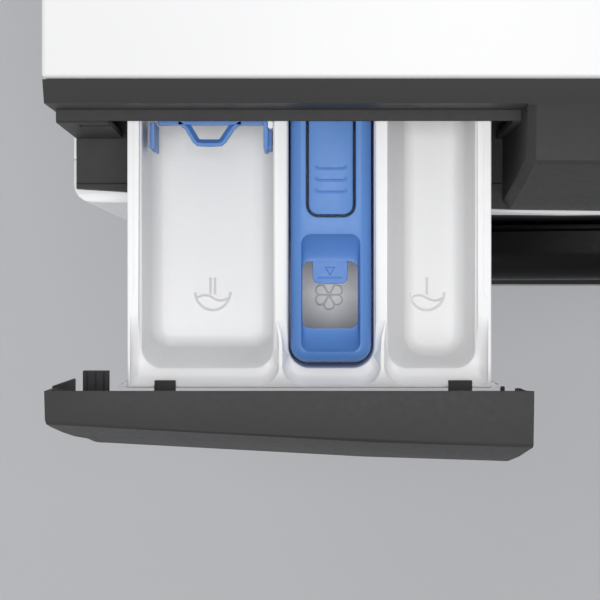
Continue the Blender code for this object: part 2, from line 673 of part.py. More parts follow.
def make_drum_spider():
    """A cast cross behind the drum, with the shaft that runs through both bearings."""
    shaft = rod_y("drum_spider", SHAFT_RADIUS, (0.1460, 0.2400), "aluminium", (0, AXIS_Z), 24)
    arms = []
    for i in range(3):
        angle = 0.5 * math.pi + 2 * math.pi * i / 3
        cos_a, sin_a = math.cos(angle), math.sin(angle)
        outline = []
        for radial, across in ((0.0, -0.016), (0.222, -0.010), (0.222, 0.010), (0.0, 0.016)):
            outline.append((radial * cos_a - across * sin_a,
                            AXIS_Z + radial * sin_a + across * cos_a))
        arms.append(along_y("arm", outline, (0.1456, 0.1545), "aluminium"))
    return join(shaft, *arms)


def make_drum_pulley():
    """A light wheel with five windows and a flat rim for the belt."""
    rim, width = DRUM_PULLEY_RADIUS, 0.008
    hub = SHAFT_RADIUS + GAP
    profile = [
        (hub, BELT_Y - width), (0.022, BELT_Y - width), (0.024, BELT_Y - 0.002),
        (rim - 0.005, BELT_Y - 0.002), (rim - 0.005, BELT_Y - width), (rim, BELT_Y - width),
        (rim, BELT_Y + width), (rim - 0.005, BELT_Y + width), (rim - 0.005, BELT_Y + 0.002),
        (0.024, BELT_Y + 0.002), (0.022, BELT_Y + width), (hub, BELT_Y + width),
    ]
    pulley = turned("drum_pulley", profile, "aluminium", 40)
    for i in range(5):
        start = 2 * math.pi * (i + 0.14) / 5
        sweep = 2 * math.pi * 0.72 / 5
        arc = circle(0.122, 5, (0, AXIS_Z), start, sweep)
        arc += circle(0.045, 4, (0, AXIS_Z), start + sweep, -sweep)
        cut(pulley, along_y("window", arc, (BELT_Y - 0.02, BELT_Y + 0.02), "aluminium"))
    return pulley


def make_motor():
    motor = rod_y("motor", 0.052, (0.080, 0.205), "zinc_steel", (0, MOTOR_Z), 28)
    for side in (-1, 1):
        join(motor, block("mount", sorted((side * 0.030, side * 0.050)), (0.105, 0.125),
                          (MOTOR_Z + 0.030, 0.1885), "zinc_steel"))
    bore = rod_y("shaft_bore", 0.0045, (0.19, 0.21), "zinc_steel", (0, MOTOR_Z), 12)
    return cut(motor, bore)


def make_motor_pulley():
    """The small pulley with its shaft, which turns inside the motor."""
    pulley = rod_y("motor_pulley", MOTOR_PULLEY_RADIUS, (BELT_Y - 0.009, BELT_Y + 0.009),
                   "zinc_steel", (0, MOTOR_Z), 20)
    return join(pulley, rod_y("motor_shaft", 0.0040, (0.1920, 0.230), "zinc_steel",
                              (0, MOTOR_Z), 12))


def belt_outline(clearance):
    """A loop round both pulleys with straight runs that touch each circle."""
    big, small = DRUM_PULLEY_RADIUS + clearance, MOTOR_PULLEY_RADIUS + clearance
    lean = math.asin((big - small) / (AXIS_Z - MOTOR_Z))
    upper = circle(big, 22, (0, AXIS_Z), -lean, math.pi + 2 * lean)
    lower = circle(small, 7, (0, MOTOR_Z), math.pi + lean, math.pi - 2 * lean)
    return upper + lower


def make_drive_belt():
    inner, outer = belt_outline(GAP + 0.0012), belt_outline(GAP + 0.0034)
    half = 0.0065
    rings = [
        [(x, y, z) for x, z in outline]
        for outline, y in ((inner, BELT_Y - half), (outer, BELT_Y - half),
                           (outer, BELT_Y + half), (inner, BELT_Y + half))
    ]
    return skin("drive_belt", rings, "black_rubber", wrapped=True)


def make_counterweight_top():
    """A concrete block that sits on top of the tub."""
    block_top = block("counterweight_top", (-0.085, 0.200), (-0.120, 0.120), (0.640, 0.7450),
                      "concrete")
    return cut(block_top, rod_y("tub_seat", TUB_RADIUS + 0.0012, (-0.2, 0.2), "concrete",
                                (0, AXIS_Z), 48))


def make_counterweight_front():
    """A concrete ring round the tub's mouth, with a space for the door lock."""
    profile = [(0.190, -0.2060), (0.246, -0.2060), (0.246, -0.1724), (0.190, -0.1724)]
    ring = turned("counterweight_front", profile, "concrete", 36)
    return cut(
        ring,
        block("lock_space", (0.10, 0.27), (-0.22, -0.15), (0.400, 0.500), "concrete"),
    )


def make_heater():
    """A hairpin heater in the bottom of the tub, with its flange outside the rear wall."""
    legs = [[(x, 0.1800, HEATER_Z), (x, -0.0900, HEATER_Z)] for x in HEATER_XS]
    bend = [(x * 0.030, -0.0900 - 0.030 * y, HEATER_Z - 0.0014 * y)
            for x, y in circle(1.0, 9, (0, 0), math.pi, -math.pi)]
    path = legs[0][:1] + bend + legs[1][:1]
    heater = tube("heater", path, 0.0035, "stainless", 8)
    return join(heater, block("flange", (-0.040, 0.040), (0.1684, 0.1740),
                              (HEATER_Z - 0.010, HEATER_Z + 0.010), "stainless"))


def make_damper(side_name, side):
    """A friction damper: a rod from the tub in a cylinder on the base."""
    centre = side * 0.170, 0.020
    cylinder = rod_z(f"damper_cylinder_{side_name}", 0.0150, (BASE_Z + 0.0034, 0.1850),
                     "black_plastic", centre, 16)
    cut(cylinder, rod_z("bore", 0.0085, (BASE_Z + 0.020, 0.20), "black_plastic", centre, 12))
    rod = rod_z(f"damper_rod_{side_name}", 0.0070, (0.0800, 0.2480), "zinc_steel", centre, 12)
    return cylinder, rod


def make_spring(name, side):
    """A suspension spring with a straight hook at each end."""
    turns, per_turn, radius = 9, 8, 0.0100
    bottom, top = 0.6300, 0.7900
    x = side * SPRING_X
    path = [(x, SPRING_Y, 0.6006), (x, SPRING_Y, 0.6180)]
    for i in range(turns * per_turn + 1):
        angle = 2 * math.pi * i / per_turn
        z = bottom + (top - bottom) * i / (turns * per_turn)
        path.append((x + radius * math.sin(angle), SPRING_Y + radius * math.cos(angle), z))
    path += [(x, SPRING_Y, 0.8020), (x, SPRING_Y, 0.8144)]
    return tube(name, path, 0.0016, "zinc_steel", 4)


def make_gasket():
    """The folded rubber between the door opening and the tub."""
    lip, clip, fold, collar = 0.1500, OPENING_RADIUS - GAP, 0.1800, 0.1752
    profile = [
        (lip, -0.2195), (clip, -0.2195), (clip, -0.2150), (0.1670, -0.2150), (0.1670, -0.2125),
        (0.1640, -0.2110), (fold, -0.2060), (fold, -0.1980), (0.1690, -0.1935),
        (0.1690, -0.1850), (collar, -0.1800), (collar, -0.1620), (collar - 0.003, -0.1620),
        (collar - 0.003, -0.1780), (0.1660, -0.1835), (0.1660, -0.1955),
        (fold - 0.003, -0.2000), (fold - 0.003, -0.2040), (0.1600, -0.2095),
        (0.1590, -0.2150), (lip, -0.2170),
    ]
    return turned("door_gasket", profile, "grey_rubber", 32)


# ---- Door --------------------------------------------------------------------------------------
def pull_outline(clearance, right):
    return rounded((0.1830 + clearance, right - clearance), (0.405 + clearance, 0.495 - clearance),
                   0.006)


def make_door_ring():
    """The dark outer ring of the door, with a well for the pull on its right."""
    outer = DOOR_RADIUS
    profile = [
        (0.1560, DOOR_BACK_Y), (outer, DOOR_BACK_Y), (outer, -0.2347), (outer - 0.003, -0.2421),
        (outer - 0.010, DOOR_FRONT_Y), (0.178, DOOR_FRONT_Y), (0.160, -0.2400),
        (0.1560, -0.2400),
    ]
    ring = turned("door_outer_ring", profile, "black_plastic", 56)
    return cut(ring, along_y("well", pull_outline(0.0, 0.2160), (-0.26, DOOR_BACK_Y - 0.004),
                             "black_plastic"))


def make_door_inner_frame():
    """The ring behind the glass edge, with the latch hook and the hinge barrel."""
    y = DOOR_BACK_Y + GAP, DOOR_BACK_Y + 0.0028
    profile = [(0.1500, y[0]), (0.2220, y[0]), (0.2220, y[1]), (0.1500, y[1])]
    frame = turned("door_inner_frame", profile, "white_plastic", 48)
    barrel_z = AXIS_Z - 0.042, AXIS_Z + 0.042
    join(
        frame,
        block("leaf", (HINGE_X - 0.0035, -0.2000), (y[0] + 0.0001, y[1] - 0.0001), barrel_z,
              "white_plastic"),
        block("web", (HINGE_X - 0.0025, HINGE_X + 0.0025), (HINGE_Y + 0.0040, y[1] - 0.0002),
              (barrel_z[0] + 0.0002, barrel_z[1] - 0.0002), "white_plastic"),
        rod_z("barrel", 0.0055, barrel_z, "white_plastic", (HINGE_X, HINGE_Y), 20),
        block("hook", (0.1970, 0.2070), (y[1] - 0.001, -0.1990), (0.4420, 0.4580),
              "white_plastic"),
    )
    return cut(frame, rod_z("pin_bore", 0.0031, (0.35, 0.55), "white_plastic",
                            (HINGE_X, HINGE_Y), 16))


def make_door_hinge():
    """A bracket on the front sheet: a plate, two knuckles and the pin between them."""
    plate_y = -0.2192, -0.2172
    bracket = block("door_hinge", (HINGE_X - 0.0070, HINGE_X + 0.0110), plate_y,
                    (AXIS_Z - 0.075, AXIS_Z + 0.075), "zinc_steel")
    for side in (-1, 1):
        z = sorted((AXIS_Z + side * 0.045, AXIS_Z + side * 0.065))
        join(
            bracket,
            block("arm", (HINGE_X - 0.0040, HINGE_X + 0.0040), (HINGE_Y, plate_y[1] - 0.0005),
                  (z[0] + 0.0003, z[1] - 0.0003), "zinc_steel"),
            rod_z("knuckle", 0.0055, z, "zinc_steel", (HINGE_X, HINGE_Y), 20),
        )
    return join(bracket, rod_z("pin", 0.0026, (AXIS_Z - 0.060, AXIS_Z + 0.060), "zinc_steel",
                               (HINGE_X, HINGE_Y), 12))


def make_door_glass():
    """A deep glass bowl, held by its rim."""
    profile = [
        (0.0, -0.1140), (0.1155, -0.1185), (0.1362, -0.1600), (0.1402, -0.2000),
        (0.1440, -0.2280), (0.1480, -0.2330), (0.1552, -0.2330), (0.1552, -0.2260),
        (0.1480, -0.2242), (0.1440, -0.2000), (0.1400, -0.1600), (0.1185, -0.1150),
        (0.0, -0.1100),
    ]
    return turned("door_glass", profile, "smoked_glass", 36)


def make_door_handle():
    return along_y("door_handle", pull_outline(0.0012, 0.2070), (-0.2480, -0.2440),
                   "black_plastic")


def make_door_lock():
    lock = block("door_lock", (0.1860, 0.2260), (-0.2146, -0.1800), (0.4150, 0.4850),
                 "black_plastic")
    return cut(lock, block("hook_space", (0.1920, 0.2130), (-0.23, -0.1900), (0.4350, 0.4650),
                           "black_plastic"))


# ---- Water and pump ----------------------------------------------------------------------------


def make_inlet_valve():
    valve = block("inlet_valve", (VALVE_X - 0.022, VALVE_X + 0.022), (0.2700, 0.3110),
                  (VALVE_Z - 0.022, VALVE_Z + 0.022), "white_plastic")
    return join(valve, rod_y("inlet", 0.0125, (0.300, REAR_MOST_Y), "white_plastic",
                             (VALVE_X, VALVE_Z), 24))


def make_dispenser_hose():
    path = [(-0.19, 0.02, 0.7376), (-0.19, 0.02, 0.700), (-0.19, 0.02, 0.6395)]
    return tube("dispenser_hose", path, 0.0135, "black_rubber", 16)


def make_sump_hose():
    path = [
        (0.070, -0.120, 0.1970), (0.070, -0.120, 0.1860), (0.074, -0.120, 0.1720),
        (0.088, -0.120, 0.1610), (0.110, -0.120, 0.1570), (0.170, -0.120, 0.1570),
        (0.192, -0.120, 0.1530), (0.206, -0.120, 0.1420), (0.210, -0.120, 0.1280),
        (0.210, -0.120, 0.1150),
    ]
    return tube("sump_hose", path, 0.0125, "black_rubber", 12)


def make_drain_pump():
    pump = rod_y("drain_pump", 0.0180, (-0.1945, -0.1000), "grey_plastic", (PUMP_X, PUMP_Z), 20)
    chamber = rod_y("chamber", 0.0300, (-0.1500, -0.0900), "grey_plastic", (PUMP_X, 0.0844), 20)
    return join(pump, chamber)


def make_filter_cap():
    cap = rod_y("filter_cap", 0.0165, (-0.2030, -0.1950), "grey_plastic", (PUMP_X, PUMP_Z), 24)
    return join(cap, block("grip", (PUMP_X - 0.003, PUMP_X + 0.003), (-0.2115, -0.2020),
                           (PUMP_Z - 0.013, PUMP_Z + 0.013), "grey_plastic"))


def make_pump_flap():
    outline = [
        (CABINET_FRONT_Y, FLAP_Z[0], 1.0), (CABINET_FRONT_Y + 0.002, FLAP_Z[0], 1.0),
        (CABINET_FRONT_Y + 0.002, FLAP_Z[1], 1.0), (CABINET_FRONT_Y, FLAP_Z[1], 1.0),
    ]
    return along_x("pump_flap", outline, FLAP_X, "white_plastic", CABINET_BOW, 4)


# ---- Assembly ----------------------------------------------------------------------------------
def make_cabinet():
    make_base_pan()
    make_side_panel("side_panel_left", -1)
    make_side_panel("side_panel_right", 1)
    make_rear_panel()
    make_rear_cover()
    make_worktop()
    make_front_panel()
    make_plinth()
    make_control_panel()
    make_display_window()
    make_control_board()
    make_dispenser_housing()
    make_door_lock()
    make_door_hinge()
    make_gasket()
    make_inlet_valve()
    make_dispenser_hose()
    make_drain_pump()
    make_sump_hose()
    for i, place in enumerate(FOOT_PLACES, 1):
        make_foot(f"foot_{i}", place)


def make_tub():
    make_tub_front()
    make_tub_rear()
    make_counterweight_top()
    make_counterweight_front()
    make_motor()
    make_bearing("bearing_front", (0.1580, 0.1740))
    make_bearing("bearing_rear", (0.1860, 0.2020))
    make_heater()
    make_drive_belt()
    for side_name, side in (("left", -1), ("right", 1)):
        make_damper(side_name, side)
        make_spring(f"spring_{side_name}", side)


def make_moving_parts():
    lifters = [make_lifter(f"drum_lifter_{i + 1}", math.radians(30 + 120 * i)) for i in range(3)]
    drum = [make_drum_basket(), make_drum_spider(), make_drum_pulley()] + lifters
    hang("drum_axis", (0, 0, AXIS_Z), drum)
    hang("motor_axis", (0, BELT_Y, MOTOR_Z), [make_motor_pulley()])

    door = [make_door_ring(), make_door_inner_frame(), make_door_glass()]
    door_axis = hang("door_axis", (HINGE_X, HINGE_Y, AXIS_Z), door)
    hang("handle_axis", (PULL_X, PULL_Y, AXIS_Z), [make_door_handle()], door_axis)

    drawer = [make_drawer_tray(), make_drawer_front(), make_softener_insert()]
    drawer_axis = hang("drawer_slide", (-0.1925, TRAY_FRONT_Y, TRAY_FLOOR_Z), drawer)
    hang("tab_axis", (-0.1836, TAB_HINGE_Y, TAB_HINGE_Z), [make_release_tab()], drawer_axis)
    hang("flap_axis", (-0.2338, GATE_HINGE_Y, GATE_HINGE_Z), [make_liquid_flap()], drawer_axis)

    hang("knob_axis", (KNOB_X, -0.2166, KNOB_Z), [make_knob()])
    start = make_button("start_button", START_X, START_RADIUS, "white_plastic")
    hang("start_axis", (START_X, fascia_y(START_X, BUTTON_Z), BUTTON_Z), [start])
    for i, x in enumerate(OPTION_XS, 1):
        button = make_button(f"option_button_{i}", x, BUTTON_RADIUS, "grey_plastic")
        hang(f"option_axis_{i}", (x, fascia_y(x, BUTTON_Z), BUTTON_Z), [button])

    hang("pump_flap_axis", (0.21, FLAP_HINGE_Y, FLAP_HINGE_Z), [make_pump_flap()])
    hang("filter_axis", (PUMP_X, -0.1950, PUMP_Z), [make_filter_cap()])


def main():
    for obj in list(bpy.data.objects):
        bpy.data.objects.remove(obj, do_unlink=True)
    make_cabinet()
    make_tub()
    make_moving_parts()


main()
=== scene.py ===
"""The looks of a front-loading washing machine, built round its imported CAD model.

Metres, +Z up, the front faces -Y.  The machine stands at rest with its detergent drawer out.
"""
import json
import math

import bmesh
import bpy
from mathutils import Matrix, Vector, geometry


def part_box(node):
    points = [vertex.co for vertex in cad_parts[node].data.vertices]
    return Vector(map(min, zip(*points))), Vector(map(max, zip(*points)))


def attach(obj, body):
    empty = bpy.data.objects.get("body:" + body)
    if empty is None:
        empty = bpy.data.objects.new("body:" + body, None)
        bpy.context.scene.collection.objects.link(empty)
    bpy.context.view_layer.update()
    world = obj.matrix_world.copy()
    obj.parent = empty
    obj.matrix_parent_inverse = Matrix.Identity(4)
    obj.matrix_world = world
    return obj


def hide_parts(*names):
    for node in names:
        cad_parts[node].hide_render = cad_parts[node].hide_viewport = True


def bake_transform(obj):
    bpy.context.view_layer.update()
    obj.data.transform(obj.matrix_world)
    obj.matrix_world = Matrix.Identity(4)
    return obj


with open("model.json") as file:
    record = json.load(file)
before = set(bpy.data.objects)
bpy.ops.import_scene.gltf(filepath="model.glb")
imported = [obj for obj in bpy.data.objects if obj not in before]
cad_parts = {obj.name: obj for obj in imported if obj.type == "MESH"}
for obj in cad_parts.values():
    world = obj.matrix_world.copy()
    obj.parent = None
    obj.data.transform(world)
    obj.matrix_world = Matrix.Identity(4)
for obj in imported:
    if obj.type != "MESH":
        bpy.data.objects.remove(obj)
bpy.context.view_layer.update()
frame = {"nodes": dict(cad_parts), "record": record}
NODES = frame["nodes"]
BODY_OF = {node: body for body, nodes in frame["record"]["behaviour"]["bodies"].items()
           for node in nodes}

AXIS_Z = 0.450                 # drum and door
DRAWER_OUT = 0.115             # how far the drawer stands out at rest
CREASE_Y, CREASE_Z = -0.2130, 0.7900          # where the control panel's face turns
LEAN_ABOVE, LEAN_BELOW = 0.0080 / 0.0505, 0.1294
FASCIA_BOW = 0.1185            # how far the face falls back with x squared, per metre
CONTROL_Z, LAMP_Z = 0.796, 0.812
PAINTED_SHADE_RADIUS = 0.286        # painted shade: the front's enamel turns near-black within this radius of the porthole's axis


# ---- Procedural materials ----------------------------------------------------------------------
class Shader:
    """A Principled material with textures that are fixed to the object, in metres."""

    def __init__(self, name, colour, roughness, **sockets):
        self.material = bpy.data.materials.new(name)
        self.material.use_nodes = True
        self.tree = self.material.node_tree
        self.bsdf = self.tree.nodes["Principled BSDF"]
        self.colour = (*colour, 1.0)
        self.bsdf.inputs["Base Color"].default_value = self.colour
        self.bsdf.inputs["Roughness"].default_value = roughness
        for socket, value in sockets.items():
            self.bsdf.inputs[socket.replace("_", " ")].default_value = value
        self.place = self.tree.nodes.new("ShaderNodeTexCoord").outputs["Object"]

    def add(self, kind, **settings):
        node = self.tree.nodes.new(kind)
        for key, value in settings.items():
            setattr(node, key, value)
        return node

    def link(self, source, target):
        self.tree.links.new(source, target)

    def feed(self, socket, source):
        """Lets a texture set one of the material's own inputs."""
        self.link(source, self.bsdf.inputs[socket])

    def maths(self, operation, first, second=0.0):
        """The result of a sum on numbers or on other nodes' outputs."""
        node = self.add("ShaderNodeMath", operation=operation)
        for socket, value in zip(node.inputs, (first, second)):
            if isinstance(value, float):
                socket.default_value = value
            else:
                self.link(value, socket)
        return node.outputs[0]

    def reach(self, u, v):
        """How far (u, v) is from the origin."""
        squares = self.maths("MULTIPLY", u, u), self.maths("MULTIPLY", v, v)
        return self.maths("SQRT", self.maths("ADD", *squares))

    def split(self):
        """The object's x, y and height above the porthole's axis."""
        node = self.add("ShaderNodeSeparateXYZ")
        self.link(self.place, node.inputs[0])
        return node.outputs[0], node.outputs[1], self.maths("SUBTRACT", node.outputs[2], AXIS_Z)

    def texture(self, kind, output, stretch, **inputs):
        """A texture on the object's coordinates, scaled on each axis."""
        mapping = self.add("ShaderNodeMapping")
        mapping.inputs["Scale"].default_value = stretch
        self.link(self.place, mapping.inputs["Vector"])
        node = self.add(f"ShaderNodeTex{kind}")
        for socket, value in inputs.items():
            node.inputs[socket].default_value = value
        self.link(mapping.outputs["Vector"], node.inputs["Vector"])
        return node.outputs[output]

    def noise(self, scale, detail=2.0, stretch=(1.0, 1.0, 1.0)):
        return self.texture("Noise", "Fac", stretch, Scale=scale, Detail=detail)

    def cells(self, scale, output="Distance", stretch=(1.0, 1.0, 1.0)):
        return self.texture("Voronoi", output, stretch, Scale=scale)

    def ramp(self, fac, *stops):
        """A colour for each value from 0 to 1; a number stands for a grey."""
        node = self.add("ShaderNodeValToRGB")
        elements = node.color_ramp.elements
        while len(elements) < len(stops):
            elements.new(0.5)
        for element, (place, value) in zip(elements, stops):
            element.position = place
            grey = (value,) * 3 if isinstance(value, float) else value
            element.color = (*grey[:3], 1.0)
        self.link(fac, node.inputs["Fac"])
        return node.outputs["Color"]

    def vary(self, fac, low, high):
        """The base colour times a factor that runs from low to high."""
        shades = [tuple(min(c * k, 1.0) for c in self.colour[:3]) for k in (low, high)]
        self.feed("Base Color", self.ramp(fac, (0.3, shades[0]), (0.7, shades[1])))

    def rough(self, fac, low, high):
        self.feed("Roughness", self.ramp(fac, (0.3, low), (0.7, high)))

    def bump(self, height, distance, strength=1.0, under=None):
        node = self.add("ShaderNodeBump")
        node.inputs["Strength"].default_value = strength
        node.inputs["Distance"].default_value = distance
        self.link(height, node.inputs["Height"])
        if under:
            self.link(under, node.inputs["Normal"])
        self.feed("Normal", node.outputs["Normal"])
        return node.outputs["Normal"]


def moulded(name, colour, roughness, grain=900.0, depth=0.00003, mottle=0.03, **sockets):
    """Injection-moulded plastic: a fine spark-eroded grain and a faint flow mottle."""
    made = Shader(name, colour, roughness, **sockets)
    made.vary(made.noise(9.0, 3.0), 1.0 - mottle, 1.0 + mottle)
    made.rough(made.noise(grain * 0.4), roughness - 0.04, roughness + 0.04)
    made.bump(made.noise(grain, 1.0), depth)
    return made.material


def laminate(name, colour):
    """A white melamine face: matt, with a very fine pearl texture."""
    made = Shader(name, colour, 0.42)
    made.vary(made.noise(5.0, 4.0), 0.985, 1.015)
    fine = made.bump(made.cells(620.0), 0.00004, 0.5)
    made.bump(made.noise(260.0, 3.0), 0.00005, 0.5, under=fine)
    return made.material


def enamel(name, colour):
    """Sprayed white enamel with a trace of orange peel under a gloss coat."""
    made = Shader(name, colour, 0.34, Coat_Weight=0.35, Coat_Roughness=0.12)
    made.vary(made.noise(3.0, 3.0), 0.985, 1.01)
    made.bump(made.noise(210.0, 2.0), 0.00008, 0.35)
    return made


def front_enamel_painted_shade(name, colour):
    """The same enamel, turned glossy near-black within a circle round the porthole: painted shade
    for the dark band between the door and the control panel.
    """
    made = enamel(name, colour)
    x, _, height = made.split()
    edge = made.add("ShaderNodeMapRange")
    edge.inputs["From Min"].default_value = PAINTED_SHADE_RADIUS
    edge.inputs["From Max"].default_value = PAINTED_SHADE_RADIUS + 0.0004
    made.link(made.reach(x, height), edge.inputs["Value"])
    beyond = edge.outputs["Result"]
    made.feed("Coat Weight", made.maths("MULTIPLY", beyond, 0.35))
    gloss = made.maths("MULTIPLY", beyond, 0.38)
    made.feed("Specular IOR Level", made.maths("ADD", gloss, 0.12))
    mix = made.add("ShaderNodeMix", data_type="RGBA")
    # the near-black inside the circle is painted shade
    mix.inputs[6].default_value = (0.005, 0.005, 0.0055, 1.0)
    white = made.bsdf.inputs["Base Color"].links[0].from_socket
    made.link(beyond, mix.inputs[0])
    made.link(white, mix.inputs[7])
    made.feed("Base Color", mix.outputs[2])
    return made.material


def galvanised(name, colour):
    """Zinc-coated sheet: flat crystals of slightly different greys."""
    made = Shader(name, colour, 0.42, Metallic=0.9)
    crystal = made.cells(170.0, "Color")
    made.vary(crystal, 0.90, 1.04)
    made.rough(crystal, 0.38, 0.48)
    made.bump(made.noise(420.0, 3.0), 0.00003, 0.4)
    return made.material


def brushed(name, colour, stretch):
    """Rolled or brushed metal, with fine lines along the axis that is stretched."""
    made = Shader(name, colour, 0.26, Metallic=1.0)
    lines = made.noise(90.0, 4.0, stretch)
    made.vary(lines, 0.88, 1.05)
    made.rough(lines, 0.2, 0.36)
    made.bump(lines, 0.00004, 0.5)
    return made.material


def cast(name, colour):
    """Die-cast aluminium with a sandy skin."""
    made = Shader(name, colour, 0.48, Metallic=0.95)
    made.vary(made.noise(30.0, 5.0), 0.86, 1.06)
    made.bump(made.noise(520.0, 4.0), 0.00012, 0.6)
    return made.material


def concrete(name, colour):
    """Cast concrete: grit, stones and air holes."""
    made = Shader(name, colour, 0.92)
    stones = made.cells(130.0)
    made.vary(made.noise(60.0, 8.0), 0.68, 1.2)
    grit = made.bump(made.noise(350.0, 8.0), 0.0006, 0.7)
    made.bump(made.ramp(stones, (0.0, 0.0), (0.22, 1.0)), 0.0005, 0.6, under=grit)
    return made.material


def rubber(name, colour):
    made = Shader(name, colour, 0.68, Sheen_Weight=0.15, Sheen_Roughness=0.5)
    made.vary(made.noise(14.0, 4.0), 0.88, 1.08)
    made.bump(made.noise(700.0, 3.0), 0.00005, 0.6)
    return made.material


def smoked(name, colour, transmission, roughness):
    made = Shader(name, colour, roughness, Transmission_Weight=transmission, IOR=1.47)
    made.rough(made.noise(4.0, 2.0), roughness, roughness + 0.03)
    return made.material


def board(name, colour):
    """A circuit board: solder mask over traces, with bright pads."""
    made = Shader(name, colour, 0.38, Coat_Weight=0.4)
    traces = made.cells(420.0, "Distance", (1.0, 1.0, 0.22))
    made.vary(traces, 0.6, 1.7)
    made.bump(traces, 0.00008)
    return made.material


WHITE, TRAY_WHITE = (0.86, 0.865, 0.87), (0.90, 0.90, 0.902)
FINISH = {
    "white_laminate": laminate("laminate_white", (0.87, 0.87, 0.87)),
    "white_enamel": enamel("enamel_white", WHITE).material,
    "white_plastic": moulded("plastic_white", TRAY_WHITE, 0.40, mottle=0.012),
    "dark_plastic": moulded("plastic_graphite", (0.046, 0.046, 0.046), 0.54, mottle=0.012,
                            Specular_IOR_Level=0.2),
    "black_plastic": moulded("plastic_black", (0.005, 0.005, 0.005), 0.45, mottle=0.01,
                             Specular_IOR_Level=0.12),
    "blue_plastic": moulded("plastic_blue", (0.106, 0.258, 0.62), 0.42, mottle=0.02,
                            Specular_IOR_Level=0.35),
    "grey_plastic": moulded("plastic_grey", (0.40, 0.41, 0.43), 0.50, mottle=0.06,
                            depth=0.00006),
    "smoked_glass": smoked("glass_smoked", (0.62, 0.64, 0.66), 0.95, 0.02),
    "grey_rubber": rubber("rubber_grey", (0.24, 0.245, 0.25)),
    "black_rubber": rubber("rubber_black", (0.022, 0.022, 0.023)),
    "zinc_steel": galvanised("steel_zinc", (0.60, 0.61, 0.63)),
    "stainless": brushed("steel_stainless", (0.66, 0.665, 0.68), (1.0, 14.0, 1.0)),
    "aluminium": cast("aluminium_cast", (0.60, 0.61, 0.63)),
    "concrete": concrete("concrete_cast", (0.36, 0.35, 0.33)),
    "green_board": board("board_green", (0.02, 0.13, 0.05)),
}
SLOT_OF = {}
for node_name, node in NODES.items():
    SLOT_OF[node_name] = node.data.materials[0].name.split(".")[0]
    node.data.materials[0] = FINISH[SLOT_OF[node_name]]
FRONT_ENAMEL_PAINTED_SHADE = front_enamel_painted_shade("enamel_front_painted_shade", WHITE)


# ---- Camera, floor and light -------------------------------------------------------------------
def make_stage():
    scene = bpy.context.scene
    camera = bpy.data.objects.new("camera", bpy.data.cameras.new("camera"))
    camera.data.lens = 113.2                   # it looks straight down on the drawer
    camera.data.sensor_width = 36.0
    camera.data.clip_end = 60.0
    camera.location = (-0.1965, -0.2590, 1.6050)
    scene.collection.objects.link(camera)
    scene.camera = camera

    bpy.ops.mesh.primitive_plane_add(size=14.0, location=(0.0, 0.0, 0.0))
    floor = bpy.context.object
    floor.name = "floor"
    pale = Shader("floor_pale", (0.62, 0.625, 0.64), 0.75)
    pale.vary(pale.noise(1.2, 3.0), 0.985, 1.015)
    pale.bump(pale.noise(60.0, 4.0), 0.0003, 0.3)
    floor.data.materials.append(pale.material)

    world = bpy.data.worlds.new("studio")
    scene.world = world
    world.use_nodes = True
    sky = world.node_tree.nodes["Background"]
    sky.inputs["Color"].default_value = (0.975, 0.98, 1.0, 1.0)
    sky.inputs["Strength"].default_value = 0.52

    for name, place, target, size, watts in (
        ("key", (-0.22, -0.46, 2.6), (-0.2, -0.2, 0.8), 0.8, 15.5),
        ("fill", (-2.6, -2.4, 1.8), (0.0, 0.0, 0.4), 2.2, 12.0),
        ("back", (1.8, 2.6, 2.4), (0.0, 0.0, 0.5), 2.2, 16.0),
    ):
        light = bpy.data.lights.new(name, "AREA")
        light.size = size
        light.energy = watts
        lamp = bpy.data.objects.new(name, light)
        lamp.location = place
        aim = Vector(target) - Vector(place)
        lamp.rotation_euler = aim.to_track_quat("-Z", "Y").to_euler()
        lamp.visible_camera = False
        scene.collection.objects.link(lamp)

    view = scene.view_settings
    view.view_transform = "Standard"
    view.look = "None"


make_stage()


# ---- Geometry ----------------------------------------------------------------------------------
def add_piece(name, bm, body, finish, nodes=(), smooth_angle=32.0):
    """A finished piece in a record material, that rides on a body and may stand for CAD nodes."""
    bmesh.ops.remove_doubles(bm, verts=bm.verts, dist=2e-6)
    bmesh.ops.recalc_face_normals(bm, faces=bm.faces)
    mesh = bpy.data.meshes.new(name)
    bm.to_mesh(mesh)
    bm.free()
    mesh.materials.append(FINISH[finish])
    mesh.shade_smooth()
    mesh.set_sharp_from_angle(angle=math.radians(smooth_angle))
    obj = bpy.data.objects.new(name, mesh)
    bpy.context.scene.collection.objects.link(obj)
    if nodes:
        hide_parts(*nodes)
    if body:
        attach(obj, body)
    return obj


def refine(node_name, width, segments=2):
    """The CAD node's own shape with its edges rounded off."""
    bm = bmesh.new()
    bm.from_mesh(NODES[node_name].data)
    bmesh.ops.remove_doubles(bm, verts=bm.verts, dist=2e-6)
    bmesh.ops.dissolve_limit(bm, angle_limit=math.radians(1.0), verts=bm.verts, edges=bm.edges)
    obj = add_piece(f"{node_name}_finished", bm, BODY_OF[node_name], SLOT_OF[node_name],
                    [node_name], 180.0)
    bevel = obj.modifiers.new("edges", "BEVEL")
    bevel.width = width
    bevel.segments = segments
    bevel.limit_method = "ANGLE"
    bevel.angle_limit = math.radians(28.0)
    bevel.harden_normals = True
    return obj


def loft(bm, rings, start=True, end=True, wrapped=False):
    """Quads between closed rings of equally many points, with the two end rings capped."""
    loops = [[bm.verts.new(point) for point in ring] for ring in rings]
    spans = list(zip(loops, loops[1:])) + ([(loops[-1], loops[0])] if wrapped else [])
    for near, far in spans:
        for i in range(len(near)):
            j = (i + 1) % len(near)
            bm.faces.new((near[i], near[j], far[j], far[i]))
    if start and not wrapped:
        bm.faces.new(loops[0])
    if end and not wrapped:
        bm.faces.new(loops[-1])


def arc(centre, radius, start, sweep, count):
    """Points of an arc in a plane, both ends included; angles in degrees."""
    angles = [math.radians(start + sweep * i / (count - 1)) for i in range(count)]
    return [(centre[0] + radius * math.cos(a), centre[1] + radius * math.sin(a)) for a in angles]


